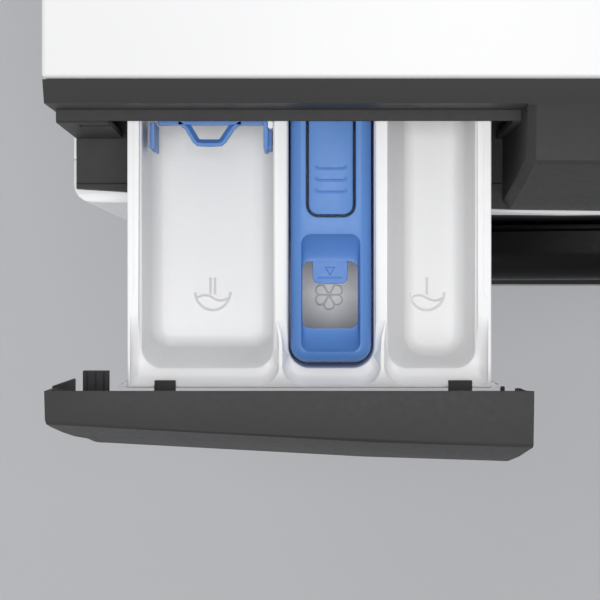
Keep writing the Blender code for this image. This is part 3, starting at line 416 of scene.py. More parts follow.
def rounded(x, y, radii, count=9):
    """A rectangle with round corners, anticlockwise from the back right; radii per corner."""
    if not hasattr(radii, "__len__"):
        radii = (radii,) * 4
    signs = ((1, 1), (-1, 1), (-1, -1), (1, -1))
    points = []
    for k, ((sx, sy), radius) in enumerate(zip(signs, radii)):
        centre = (x[1] - radius if sx > 0 else x[0] + radius,
                  y[1] - radius if sy > 0 else y[0] + radius)
        points += arc(centre, radius, 90.0 * k, 90.0, count)
    return points


def inset(x, y, radii, by, count=9):
    """The same outline, moved inwards."""
    radii = radii if hasattr(radii, "__len__") else (radii,) * 4
    return rounded((x[0] + by, x[1] - by), (y[0] + by, y[1] - by),
                   [max(r - by, 0.0003) for r in radii], count)


def at(points, z):
    return [(x, y, z(x, y) if callable(z) else z) for x, y in points]


def inside(point, polygon):
    """Whether a point in plan is within a polygon."""
    x, y = point
    odd = False
    for (x1, y1), (x2, y2) in zip(polygon, polygon[1:] + polygon[:1]):
        if (y1 > y) != (y2 > y) and x < (x2 - x1) * (y - y1) / (y2 - y1) + x1:
            odd = not odd
    return odd


def sheet(bm, outer, holes, height, lines=(), points=()):
    """A triangulated skin inside an outline, with holes, lifted to a height at each point."""
    verts, edges = [], []
    for loop, closed in [(outer, True)] + [(h, True) for h in holes] + [(n, False) for n in lines]:
        first = len(verts)
        verts += loop
        edges += [(first + i, first + i + 1) for i in range(len(loop) - 1)]
        if closed:
            edges.append((first + len(loop) - 1, first))
    verts += list(points)
    made = geometry.delaunay_2d_cdt([Vector(v) for v in verts], edges, [], 0, 1e-7)
    corners = [bm.verts.new((v.x, v.y, height(v.x, v.y))) for v in made[0]]
    for face in made[2]:
        middle = sum((made[0][i] for i in face), Vector((0.0, 0.0))) / len(face)
        if inside(middle, outer) and not any(inside(middle, hole) for hole in holes):
            bm.faces.new([corners[i] for i in face])


def bead(bm, path, width, height, base, closed=False):
    """A low rounded rib that follows a path in plan, standing on a base height."""
    steps = 5
    rings = []
    count = len(path)
    for i, (x, y) in enumerate(path):
        before = path[(i - 1) % count] if closed or i else path[0]
        after = path[(i + 1) % count] if closed or i < count - 1 else path[-1]
        along = Vector((after[0] - before[0], after[1] - before[1])).normalized()
        ring = []
        for k in range(steps):
            angle = math.pi * k / (steps - 1)
            off = 0.5 * width * math.cos(angle)
            rise = height * math.sin(angle)
            ring.append((x - along.y * off, y + along.x * off, base + rise))
        rings.append(ring)
    loft(bm, rings, wrapped=closed)


def turn(bm, profile, count, centre=(0.0, AXIS_Z)):
    """A closed profile of (radius, y), turned about an axis along Y."""
    rings = []
    for i in range(count):
        angle = 2 * math.pi * i / count
        rings.append([(centre[0] + r * math.cos(angle), y, centre[1] + r * math.sin(angle))
                      for r, y in profile])
    loft(bm, rings, wrapped=True)


def box(bm, x, y, z, rounding=0.0):
    """A block, or one with its upright corners rounded."""
    outline = (rounded(x, y, rounding, 5) if rounding
               else [(x[0], y[0]), (x[1], y[0]), (x[1], y[1]), (x[0], y[1])])
    loft(bm, [at(outline, z[0]), at(outline, z[1])])


def wire(bm, path, radius, sides):
    """A round tube along a path in space; radius may be a function of the place along it."""
    points = [Vector(p) for p in path]
    side = Vector((1.0, 0.0, 0.0))
    rings = []
    for i, point in enumerate(points):
        along = (points[min(i + 1, len(points) - 1)] - points[max(i - 1, 0)]).normalized()
        side = side - along * side.dot(along)
        side = side.normalized() if side.length > 1e-6 else along.orthogonal().normalized()
        up = along.cross(side)
        r = radius(i) if callable(radius) else radius
        rings.append([point + side * (r * math.cos(2 * math.pi * k / sides))
                      + up * (r * math.sin(2 * math.pi * k / sides)) for k in range(sides)])
    loft(bm, rings)


def plate(bm, outline, y):
    """A plate between two places along Y, with its outline in (x, z)."""
    loft(bm, [[(px, at_y, pz) for px, pz in outline] for at_y in y])


def fascia_y(x, z):
    """Where the control panel's face is, or the drawer front's when the drawer is shut."""
    above = z - CREASE_Z
    lean = LEAN_ABOVE if above > 0 else LEAN_BELOW
    return CREASE_Y + lean * above + FASCIA_BOW * x * x


def fascia_mark(bm, outline, sunk, proud):
    """A thin mark that follows the control panel's face."""
    loft(bm, [[(x, fascia_y(x, z) + off, z) for x, z in outline] for off in (sunk, -proud)])


# ---- Detergent drawer: tray --------------------------------------------------------------------
(_, TRAY_FRONT, TRAY_BASE), (_, TRAY_BACK, RIM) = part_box("drawer_tray")
TRAY_LEFT, TRAY_RIGHT = -0.2687, -0.1165
TRAY_FLOOR = TRAY_BASE + 0.002
DISH_FRONT, DISH_START, DISH_FULL, DISH_DEPTH = -0.2949, -0.2630, -0.2860, 0.0052
DISH_ROUND = 0.0040
RIDGES = ((-0.2066, -0.2053, -0.2039), (-0.1602, -0.1627, -0.1613))   # tip, left edge, right edge
RIDGE_TIP_Y, RIDGE_STRAIGHT_Y = -0.2672, -0.2800
OPENINGS = (                   # x, front corner radius, floor x, floor front, floor radius
    ((-0.2629, -0.2078), 0.0085, (-0.2624, -0.2083), -0.2801, 0.0090),
    ((-0.2014, -0.1654), 0.0090, (-0.2008, -0.1660), -0.2845, 0.0080),
    ((-0.1593, -0.1230), 0.0078, (-0.1508, -0.1234), -0.2843, 0.0100),
)
OPENING_FRONT, OPENING_BACK = -0.2875, -0.0655


def ridge_side(tip_x, straight_x):
    """One edge of a ridge, from its pointed end forward to where it runs straight."""
    points = []
    for i in range(13):
        t = i / 12
        points.append((straight_x + (tip_x - straight_x) * (1 - t) ** 2.2,
                       RIDGE_TIP_Y + (RIDGE_STRAIGHT_Y - RIDGE_TIP_Y) * t))
    return points


def dish_outlines():
    """The edge of the shallow dish round the front of each pocket."""
    left, right = TRAY_LEFT + 0.0011, TRAY_RIGHT - 0.0013
    radius = 0.0084
    low = DISH_FRONT
    outlines = []
    for k in range(3):
        points = []
        if k:                                   # down the right-hand edge of the ridge on the left
            tip, _, edge = RIDGES[k - 1]
            points += ridge_side(tip + 0.0001, edge)
            points += arc((edge + radius, low + radius), radius, 180, 90, 14)
        else:
            points += [(left, DISH_START + (low - DISH_START) * i / 24) for i in range(24)]
            points += arc((left + 0.0004, low + 0.0004), 0.0004, 180, 90, 3)
        start_x = points[-1][0]
        if k < 2:                               # and up the left-hand edge of the next one
            tip, edge, _ = RIDGES[k]
            corner = arc((edge - radius, low + radius), radius, -90, 90, 14)
            rise = ridge_side(tip - 0.0001, edge)[::-1]
        else:
            corner = arc((right - 0.0004, low + 0.0004), 0.0004, -90, 90, 3)
            rise = [(right, low + (DISH_START - low) * i / 24) for i in range(1, 25)]
        steps = int((corner[0][0] - start_x) / 0.0012)
        points += [(start_x + (corner[0][0] - start_x) * i / steps, low) for i in range(1, steps)]
        outlines.append(points + corner + rise)
    return outlines


def distance_to(point, line):
    """How far a point in plan is from a line of points."""
    best = 1.0
    px, py = point
    for (x1, y1), (x2, y2) in zip(line, line[1:]):
        dx, dy = x2 - x1, y2 - y1
        t = max(0.0, min(1.0, ((px - x1) * dx + (py - y1) * dy) / (dx * dx + dy * dy + 1e-18)))
        best = min(best, math.hypot(px - x1 - t * dx, py - y1 - t * dy))
    return best


def make_tray():
    bm = bmesh.new()
    dishes = dish_outlines()

    def height(x, y):
        """The rim, or the dish that is sunk below it."""
        if y >= DISH_START - 1e-7:
            return RIM
        fade = min((DISH_START - y) / (DISH_START - DISH_FULL), 1.0)
        fade = fade * fade * (3 - 2 * fade)
        for dish in dishes:
            if inside((x, y), dish):
                reach = min(distance_to((x, y), dish) / DISH_ROUND, 1.0)
                return RIM - DISH_DEPTH * fade * math.sqrt(1 - (1 - reach) ** 2)
        return RIM

    points = []
    for dish in dishes:
        for off in (0.0001, 0.0004, 0.0008, 0.0013, 0.0019, 0.0026, 0.0034, 0.0042, 0.0052):
            for i in range(1, len(dish) - 1):
                (x1, y1), (x2, y2) = dish[i - 1], dish[i + 1]
                length = math.hypot(x2 - x1, y2 - y1)
                point = (dish[i][0] - off * (y2 - y1) / length,
                         dish[i][1] + off * (x2 - x1) / length)
                if inside(point, dish) and distance_to(point, dish) > 0.97 * off:
                    points.append(point)
    holes = []
    for x, radius, floor_x, floor_front, floor_radius in OPENINGS:
        span = (OPENING_FRONT, OPENING_BACK)
        radii = (0.004, 0.004, radius, radius)
        lip = rounded(x, span, radii, 13)
        holes.append(inset(x, span, radii, -0.0005, 13))
        floor_span = (floor_front, OPENING_BACK - 0.001)
        floor_radii = (0.004, 0.004, floor_radius, floor_radius)
        drop = 0.0005
        rings = [at(holes[-1], height)]
        for off, down in ((-0.00035, 0.00005), (-0.00015, 0.00020), (0.0, drop)):
            rings.append(at(inset(x, span, radii, off, 13), lambda px, py: height(px, py) - down))
        bend = 0.0055
        base = rounded(floor_x, floor_span, floor_radii, 13)
        for t in (0.33, 0.66, 1.0):
            rings.append([
                (lx + (fx - lx) * t, ly + (fy - ly) * t,
                 (height(lx, ly) - drop) * (1 - t) + (TRAY_FLOOR + bend) * t)
                for (lx, ly), (fx, fy) in zip(lip, base)])
        for i in range(1, 7):
            angle = 0.5 * math.pi * i / 6
            rings.append(at(inset(floor_x, floor_span, floor_radii, bend * (1 - math.cos(angle)),
                                  13), TRAY_FLOOR + bend * (1 - math.sin(angle))))
        loft(bm, rings, start=False)
    points = [p for p in points if not any(inside(p, hole) for hole in holes)]
    edge, corner = 0.0003, 0.0008
    outer_x, outer_y = (TRAY_LEFT, TRAY_RIGHT), (TRAY_FRONT, TRAY_BACK)
    outline = rounded(outer_x, outer_y, corner, 4)
    top = inset(outer_x, outer_y, corner, edge, 4)
    sheet(bm, top, holes, height, dishes, points)
    loft(bm, [at(top, RIM), at(outline, RIM - edge), at(outline, TRAY_BASE + 0.001),
              at(inset(outer_x, outer_y, corner, 0.001, 4), TRAY_BASE)], start=False)

    for side, edge_x in ((-1, TRAY_LEFT), (1, TRAY_RIGHT)):      # the clip ears beside the front
        plan = [(edge_x + side * out, TRAY_FRONT + back) for out, back in (
            (-0.001, 0.0024), (0.0012, 0.0022), (0.0022, 0.0013), (0.0040, 0.0012),
            (0.0040, 0.0), (-0.001, 0.0))]
        loft(bm, [at(plan, RIM - 0.0010), at(plan, TRAY_FLOOR + 0.004)])
    for x, side in ((TRAY_LEFT + 0.0026, -1), (TRAY_RIGHT - 0.0033, 1)):
        line = [(x, -0.1650 - 0.002 * i) for i in range(46)]
        line += [(x + side * 0.0022 * (1 - math.cos(0.25 * math.pi * i)),
                  -0.2550 - 0.0040 * math.sin(0.25 * math.pi * i)) for i in range(1, 3)]
        bead(bm, line, 0.00035, 0.00014, RIM - 0.00004)
    add_piece("tray_moulding", bm, "drawer", "white_plastic", ["drawer_tray"], 30.0)


def wash_symbol(bm, x, strokes):
    """A bowl with water in it under one or two strokes, raised from the pocket's floor."""
    base, width, rise = TRAY_FLOOR - 0.0001, 0.00125, 0.0010
    bowl = arc((x, -0.2562), 0.0078, 180, 180, 29)
    bowl = [(bx, y if y > -0.2572 else -0.2572 + (y + 0.2572) * 1.02) for bx, y in bowl]
    bead(bm, [(bx, y + 0.0006) for bx, y in bowl], width, rise, base)
    wave = [(x + 0.0066 * t / 8, -0.2581 - 0.0010 * math.sin(math.pi * t / 8)
             - 0.0003 * t / 8) for t in range(-8, 9)]
    bead(bm, wave, 0.0011, rise, base)
    for i in range(strokes):
        at_x = x + 0.0021 * (i - (strokes - 1) / 2)
        bead(bm, [(at_x, -0.2491), (at_x, -0.2530), (at_x, -0.2566)], 0.00115, rise, base)


def flower_symbol(bm, x, y):
    """Six petals round a point."""
    for k in range(6):
        angle = math.radians(-90 + 60 * k)
        petal = []
        for i in range(20):
            t = 2 * math.pi * i / 20
            along = 0.0034 - 0.0030 * math.cos(t)
            across = 0.0021 * math.sin(t) * (1 - 0.35 * math.cos(t)) * min(1.0, along / 0.0028)
            petal.append((x + along * math.cos(angle) - across * math.sin(angle),
                          y + along * math.sin(angle) + across * math.cos(angle)))
        bead(bm, petal, 0.0009, 0.0008, TRAY_FLOOR - 0.0001, closed=True)


def make_symbols():
    bm = bmesh.new()
    wash_symbol(bm, -0.2353, 2)
    wash_symbol(bm, -0.1401, 1)
    flower_symbol(bm, -0.1836, -0.2568)
    symbols = add_piece("tray_symbols", bm, "drawer", "white_plastic", (), 40.0)
    # the symbols' greyer white is painted shade, for the dark outlines their raised sides show
    symbols.data.materials[0] = moulded("plastic_white_relief_painted_shade", (0.78, 0.78, 0.785), 0.45)


make_tray()
make_symbols()


# ---- Detergent drawer: lid, tab, gate and front ------------------------------------------------
LID_X, LID_Y, LID_TOP, LID_BASE = (-0.2004, -0.1666), (-0.2850, -0.1500), 0.8172, 0.8066
SKIRT_BASE = 0.7905            # the lid's sides hang lower than its underside
LID_RADII = (0.003, 0.003, 0.0070, 0.0070)
FUNNEL_X, FUNNEL_Y, FUNNEL_RADIUS = (-0.1959, -0.1714), (-0.2807, -0.2316), 0.0040
WINDOW_X, WINDOW_Y, WINDOW_TOP = (-0.1955, -0.1721), (-0.2710, -0.2426), 0.8088
SLOT_X, SLOT_Y = (-0.1940, -0.1732), (-0.2244, -0.1665)


def make_lid():
    """The blue lid over the middle pocket, with its funnel and a tongue at the filling level."""
    bm = bmesh.new()
    skirt = inset(LID_X, LID_Y, LID_RADII, 0.0014)
    rings = [at(skirt, LID_BASE), at(skirt, SKIRT_BASE),
             at(rounded(LID_X, LID_Y, LID_RADII), SKIRT_BASE)]
    for by, down in ((0.0, 0.0052), (0.0003, 0.0038), (0.0009, 0.0025), (0.0018, 0.0014),
                     (0.0030, 0.0005), (0.0044, 0.0)):
        rings.append(at(inset(LID_X, LID_Y, LID_RADII, by), LID_TOP - down))
    loft(bm, rings, start=False, end=False)
    funnel = rounded(FUNNEL_X, FUNNEL_Y, FUNNEL_RADIUS)
    window = rounded(WINDOW_X, WINDOW_Y, 0.0034)
    slot_radii = (0.001, 0.001, 0.0052, 0.0052)
    slot = rounded(SLOT_X, SLOT_Y, slot_radii)
    lip = inset(FUNNEL_X, FUNNEL_Y, FUNNEL_RADIUS, -0.0003)
    slot_lip = inset(SLOT_X, SLOT_Y, slot_radii, -0.0003)
    top = [(x, y) for x, y, _ in rings[-1]]
    sheet(bm, top, [lip, slot_lip], lambda x, y: LID_TOP)
    sheet(bm, [(x, y) for x, y, _ in rings[0]], [window, slot], lambda x, y: LID_BASE)
    basin = [at(lip, LID_TOP),
             at(inset(FUNNEL_X, FUNNEL_Y, FUNNEL_RADIUS, -0.0001), LID_TOP - 0.0001),
             at(funnel, LID_TOP - 0.0004)]
    for t in (0.25, 0.5, 0.75, 0.93, 1.0):
        drop = 0.0004 + (LID_TOP - WINDOW_TOP - 0.0004) * math.sin(0.5 * math.pi * t) ** 0.9
        basin.append([(fx + (wx - fx) * t, fy + (wy - fy) * t, LID_TOP - drop)
                      for (fx, fy), (wx, wy) in zip(funnel, window)])
    basin.append(at(window, LID_BASE))
    loft(bm, basin, start=False, end=False)
    loft(bm, [at(slot_lip, LID_TOP), at(slot, LID_TOP - 0.0003), at(slot, LID_BASE)],
         start=False, end=False)
    x, y, radii = (-0.1912, -0.1764), (-0.2521, -0.2415), (0.0003, 0.0003, 0.0028, 0.0028)
    tongue, tongue_top = rounded(x, y, radii), WINDOW_TOP - 0.0004
    loft(bm, [at(tongue, tongue_top - 0.0018), at(tongue, tongue_top - 0.0003),
              at(inset(x, y, radii, 0.0002), tongue_top)])
    middle = sum(x) / 2
    bead(bm, [(middle - 0.0052, -0.2496), (middle, -0.2496), (middle + 0.0052, -0.2496)],
         0.0008, 0.0003, tongue_top - 0.00005)
    bead(bm, [(middle - 0.0020, -0.2452), (middle + 0.0020, -0.2452), (middle, -0.2484)],
         0.0008, 0.0003, tongue_top - 0.00005, closed=True)
    add_piece("softener_lid", bm, "drawer", "blue_plastic", ["softener_insert"])


def make_tab():
    """The tongue that frees the drawer, with three thumb ridges that rise towards the front."""
    bm = bmesh.new()
    x, y, top = (-0.1928, -0.1744), (-0.2232, -0.1672), 0.8162
    radii = (0.001, 0.001, 0.0040, 0.0040)
    loft(bm, [at(rounded(x, y, radii), 0.8130), at(rounded(x, y, radii), top - 0.0003),
              at(inset(x, y, radii, 0.0001), top - 0.0001), at(inset(x, y, radii, 0.0003), top)])
    for front in (-0.2139, -0.2090, -0.2042):
        line = [(-0.1899, front + 0.0012), (-0.1897, front + 0.0004), (-0.1890, front)]
        line += [(-0.1890 + 0.0108 * i / 8, front) for i in range(1, 8)]
        line += [(-0.1782, front), (-0.1775, front + 0.0004), (-0.1773, front + 0.0012)]
        bead(bm, line, 0.0012, 0.0006, top - 0.0001)
    add_piece("release_tab_moulding", bm, "release_tab", "blue_plastic", ["release_tab"], 40.0)


def make_gate():
    """The gate for liquid detergent: a bar, two side guides and a loop to lift it by."""
    bm = bmesh.new()
    front, back, top = -0.1853, -0.1838, 0.8128
    bar = rounded((-0.2563, -0.2114), (0.8064, top), (0.0012, 0.0012, 0.003, 0.003), 5)
    plate(bm, bar, (front, back))
    for x in ((-0.2588, -0.2577), (-0.2119, -0.2101)):
        box(bm, x, (-0.1956, back), (0.7850, top), 0.0005)
    for x in ((-0.2602, -0.2580), (-0.2108, -0.2084)):
        box(bm, x, (-0.1948, back - 0.0002), (0.7850, 0.8060), 0.0004)
    line = [(-0.2475, -0.1844), (-0.2462, -0.1852), (-0.2442, -0.1869), (-0.2427, -0.1894),
            (-0.2411, -0.1922), (-0.2396, -0.1935), (-0.2374, -0.19375), (-0.2345, -0.1938),
            (-0.2316, -0.19375), (-0.2296, -0.1935), (-0.2281, -0.1922), (-0.2263, -0.1894),
            (-0.2246, -0.1869), (-0.2226, -0.1852), (-0.2213, -0.1844)]
    section = ((-0.00075, -0.0026), (-0.00075, -0.0002), (-0.0006, 0.0), (0.0006, 0.0),
               (0.00085, -0.0003), (0.0024, -0.0021), (0.0024, -0.0026))
    rings = []
    for i, (x, y) in enumerate(line):
        (x1, y1), (x2, y2) = line[max(i - 1, 0)], line[min(i + 1, len(line) - 1)]
        length = math.hypot(x2 - x1, y2 - y1)
        nx, ny = -(y2 - y1) / length, (x2 - x1) / length
        rings.append([(x + nx * off, min(y + ny * off, back), top + up) for off, up in section])
    loft(bm, rings)
    add_piece("liquid_gate", bm, "liquid_flap", "blue_plastic", ["liquid_flap"])


def make_drawer_details():
    """Ribs on the guide tongue, and the peg that the gate's side rests against."""
    bm = bmesh.new()
    for x in (-0.2866, -0.2831, -0.2796):
        bead(bm, [(x, -0.2895), (x, -0.2980), (x, -0.3060)], 0.0007, 0.0005, 0.8059)
    add_piece("guide_tongue_ribs", bm, "drawer", "dark_plastic", (), 60.0)
    bm = bmesh.new()
    box(bm, (-0.2099, -0.2079), (-0.1872, -0.1840), (0.8068, 0.8150), 0.0009)
    add_piece("gate_peg", bm, "drawer", "white_plastic", (), 60.0)


def make_front_corner():
    """The round left end of the drawer front, which keeps its wall and blends into the face."""
    left, right, side_y = -0.2997, -0.2867, -0.3073
    wall, skin, lap, steps = 0.0020, 0.00005, 0.0014, 12
    bm = bmesh.new()
    rings = []
    levels = [(z, skin) for z in (0.7484, 0.7560, 0.7650, 0.7745, 0.7820, CREASE_Z)]
    for z, out in [(0.7476, -0.0005)] + levels + [(0.8010, -0.0003)]:
        deep = max(side_y - fascia_y(right, z) + DRAWER_OUT, right - left)
        ring = []
        for off in (out, -wall):
            side = []
            for i in range(steps + 1):
                angle = 0.5 * math.pi * i / steps
                x = right - (right - left + off) * math.cos(angle)
                y = side_y - (deep + off) * math.sin(angle)
                side.append((x, max(y, fascia_y(x, z) - DRAWER_OUT - off), z))
            side.append((right + lap, fascia_y(right + lap, z) - DRAWER_OUT - off, z))
            ring += side if off == out else side[::-1]
        rings.append(ring)
    loft(bm, rings)
    add_piece("front_corner", bm, "drawer", "dark_plastic", (), 40.0)


make_lid()
make_tab()
make_front_corner()
make_gate()
make_drawer_details()
refine("drawer_front", 0.0008, 3)
refine("control_panel", 0.0008, 3)


# ---- Cabinet, controls and back ----------------------------------------------------------------
def carve(bm, cutter):
    """Takes one closed mesh away from another."""
    made = []
    for part in (bm, cutter):
        bmesh.ops.recalc_face_normals(part, faces=part.faces)
        mesh = bpy.data.meshes.new("carving")
        part.to_mesh(mesh)
        obj = bpy.data.objects.new("carving", mesh)
        bpy.context.scene.collection.objects.link(obj)
        made.append(obj)
    modifier = made[0].modifiers.new("cut", "BOOLEAN")
    modifier.operation = "DIFFERENCE"
    modifier.solver = "EXACT"
    modifier.object = made[1]
    bpy.context.view_layer.update()
    result = bmesh.new()
    result.from_object(made[0], bpy.context.evaluated_depsgraph_get())
    for obj in made:
        mesh = obj.data
        bpy.data.objects.remove(obj)
        bpy.data.meshes.remove(mesh)
    bm.free()
    cutter.free()
    return result


def disc(bm, centre, radius, y, count, crown):
    """A short cylinder along Y; the crown rounds its front edge."""
    rings = []
    for inwards, at_y in ((0.0, y[1]), (0.0, y[0] + crown), (0.3 * crown, y[0] + 0.3 * crown),
                          (crown, y[0])):
        edge = arc(centre, radius - inwards, 0, 360 - 360 / count, count)
        rings.append([(px, at_y, pz) for px, pz in edge])
    loft(bm, rings)


def make_knob():
    """The programme knob: a fluted grip, a dished face and a pointer."""
    back, front, count, flutes = -0.2166, -0.2360, 144, 36
    bm = bmesh.new()
    rings = []
    profile = ((0.0255, back), (0.0260, back - 0.0010), (0.0258, -0.2200),
               (0.0243, front + 0.0022), (0.0232, front + 0.0007), (0.0218, front),
               (0.0200, front + 0.0004), (0.0120, front + 0.0008), (0.0010, front + 0.0009))
    for step, (r, y) in enumerate(profile):
        ring = []
        for i in range(count):
            angle = 2 * math.pi * i / count
            flute = 0.00045 * (0.5 + 0.5 * math.cos(flutes * angle)) if 2 <= step <= 3 else 0.0
            ring.append(((r - flute) * math.cos(angle), y,
                         CONTROL_Z + (r - flute) * math.sin(angle)))
        rings.append(ring)
    loft(bm, rings)
    add_piece("programme_knob_moulding", bm, "programme_knob", "white_plastic", ["programme_knob"],
              40.0)
    bm = bmesh.new()
    box(bm, (-0.0009, 0.0009), (front - 0.0003, front + 0.0012),
        (CONTROL_Z + 0.0090, CONTROL_Z + 0.0205))
    add_piece("programme_knob_pointer", bm, "programme_knob", "dark_plastic")
    bm = bmesh.new()
    for i in range(16):
        angle = math.radians(18.0 * i - 45.0)
        c, s = math.cos(angle), math.sin(angle)
        near, far, half = 0.0325, 0.0350 if i % 5 else 0.0366, 0.00045
        corners = (near, -half), (far, -half), (far, half), (near, half)
        fascia_mark(bm, [(r * s - side * c, CONTROL_Z - r * c - side * s) for r, side in corners],
                    0.0004, 0.00012)
    add_piece("dial_marks", bm, "cabinet", "white_plastic", (), 60.0)


def make_buttons():
    """Domed caps, each with a mark on it and a lamp over it."""
    for name, x, radius, finish in (("start_button", 0.262, 0.0105, "white_plastic"),
                                    ("option_button_1", 0.185, 0.0075, "grey_plastic"),
                                    ("option_button_2", 0.215, 0.0075, "grey_plastic")):
        face = fascia_y(x, CONTROL_Z)
        bm = bmesh.new()
        disc(bm, (x, CONTROL_Z), radius, (face - 0.0022, face + 0.0060), 48, 0.0007)
        add_piece(f"{name}_cap", bm, name, finish, [name], 40.0)
        outline, ink = arc((x, CONTROL_Z), 0.0021, 0, 345, 24), "white_plastic"
        if name == "start_button":
            ink = "dark_plastic"
            outline = ((x - 0.0028, CONTROL_Z - 0.0034), (x - 0.0028, CONTROL_Z + 0.0034),
                       (x + 0.0034, CONTROL_Z))
        bm = bmesh.new()
        plate(bm, outline, (face - 0.0023, face - 0.0015))
        add_piece(f"{name}_mark", bm, name, ink)
        bm = bmesh.new()
        lamp = fascia_y(x, LAMP_Z)
        disc(bm, (x, LAMP_Z), 0.0011, (lamp - 0.0003, lamp + 0.0008), 16, 0.0002)
        add_piece(f"{name}_lamp", bm, "cabinet", "white_plastic")


def make_display():
    """Seven-segment figures for the time left, just behind the front of the pane."""
    segments = {"1": "bc", "2": "abged", "0": "abcdef"}
    bm = bmesh.new()

    def bar(left, right, low, high):
        fascia_mark(bm, ((left, low), (right, low), (right, high), (left, high)), 0.0003, 0.00015)

    w, h, t, base = 0.0066, 0.0062, 0.0011, 0.8055        # a figure is 2 h high, in strokes of t
    for x, figure in ((0.0800, "1"), (0.0940, "2"), (0.1045, "0")):
        for letter, low in (("a", 2 * h - t), ("g", h - 0.5 * t), ("d", 0.0)):
            if letter in segments[figure]:
                bar(x + t, x + w - t, base + low, base + low + t)
        for letter, left, low, high in (("f", x, h + 0.3 * t, 2 * h - 0.5 * t),
                                        ("b", x + w - t, h + 0.3 * t, 2 * h - 0.5 * t),
                                        ("e", x, 0.5 * t, h - 0.3 * t),
                                        ("c", x + w - t, 0.5 * t, h - 0.3 * t)):
            if letter in segments[figure]:
                bar(left, left + t, base + low, base + high)
    for z in (base + 0.4 * h, base + 1.5 * h):
        bar(0.0895, 0.0906, z - 0.0005, z + 0.0006)
    add_piece("display_figures", bm, "cabinet", "white_plastic", (), 60.0)


def make_rear_details():
    """Screws round the two rear sheets, pressed ribs in the cover and the inlet's thread."""
    panel_back, cover_back = 0.3140, 0.3179
    bm = bmesh.new()
    places = [(x, z, panel_back) for x in (-0.268, 0.268)
              for z in (0.060, 0.250, 0.430, 0.610, 0.800)]
    places += [(x, z, cover_back) for x in (-0.172, 0.172) for z in (0.090, 0.350, 0.610)]
    for x, z, y in places:
        head = ((0.0048, -0.0006), (0.0048, 0.0006), (0.0040, 0.0018), (0.0022, 0.0024),
                (0.0016, 0.0012))
        loft(bm, [[(px, y + out, pz) for px, pz in arc((x, z), r, 0, 337.5, 16)]
                  for r, out in head])
    add_piece("rear_screws", bm, "cabinet", "zinc_steel", (), 40.0)
    bm = bmesh.new()
    for z in (0.190, 0.270, 0.350, 0.430, 0.510):
        outline = rounded((-0.100, 0.100), (z - 0.010, z + 0.010), 0.0098, 7)
        smaller = rounded((-0.097, 0.097), (z - 0.007, z + 0.007), 0.0068, 7)
        loft(bm, [[(x, 0.3317, zz) for x, zz in outline], [(x, 0.33225, zz) for x, zz in smaller]])
    add_piece("rear_cover_ribs", bm, "cabinet", "zinc_steel", (), 60.0)
    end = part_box("inlet_valve")[1].y
    bm = bmesh.new()
    profile = [(0.0080, end - 0.0135), (0.0101, end - 0.0135)]
    for i in range(5):
        y = end - 0.0125 + 0.0022 * i
        profile += [(0.0101, y), (0.0106, y + 0.0008), (0.0106, y + 0.0012), (0.0101, y + 0.0020)]
    profile += [(0.0101, end - 0.0003), (0.0080, end - 0.0003)]
    turn(bm, profile, 48, (0.222, 0.760))
    add_piece("inlet_thread", bm, "cabinet", "white_plastic", (), 40.0)


make_knob()
make_buttons()
make_display()
make_rear_details()
for node_name, width in (
    ("worktop", 0.0012), ("front_panel", 0.0005), ("side_panel_left", 0.0005),
    ("side_panel_right", 0.0005), ("plinth", 0.0005), ("base_pan", 0.0008), ("rear_cover", 0.0006),
    ("dispenser_housing", 0.0010), ("counterweight_top", 0.0050), ("counterweight_front", 0.0030),
    ("door_lock", 0.0010), ("motor", 0.0015), ("drain_pump", 0.0012), ("tub_front", 0.0010),
    ("tub_rear", 0.0006), ("drum_spider", 0.0012), ("filter_cap", 0.0006), ("door_hinge", 0.0005),
    ("heater", 0.0004), ("door_handle", 0.0010), ("door_inner_frame", 0.0005),
    ("pump_flap", 0.0006), ("foot_1", 0.0006), ("foot_2", 0.0006), ("foot_3", 0.0006),
    ("foot_4", 0.0006), ("rear_panel", 0.0003), ("drum_pulley", 0.0008),
):
    refined = refine(node_name, width)
    if node_name == "front_panel":
        # the front panel's enamel carries the painted shade round the porthole
        refined.data.materials[0] = FRONT_ENAMEL_PAINTED_SHADE
    elif node_name == "door_inner_frame":
        refined.data.materials[0] = FINISH["black_plastic"]


# ---- Door, gasket, drum and drive --------------------------------------------------------------
def smooth_profile(points, steps=4):
    """A Catmull-Rom curve through the points of a profile."""
    out = []
    for i in range(len(points) - 1):
        p0, p1 = points[max(i - 1, 0)], points[i]
        p2, p3 = points[i + 1], points[min(i + 2, len(points) - 1)]
        for k in range(steps):
            t = k / steps
            out.append(tuple(
                0.5 * (2 * b + (c - a) * t + (2 * a - 5 * b + 4 * c - d) * t * t
                       + (3 * b - a - 3 * c + d) * t ** 3)
                for a, b, c, d in zip(p0, p1, p2, p3)))
    return out + [points[-1]]


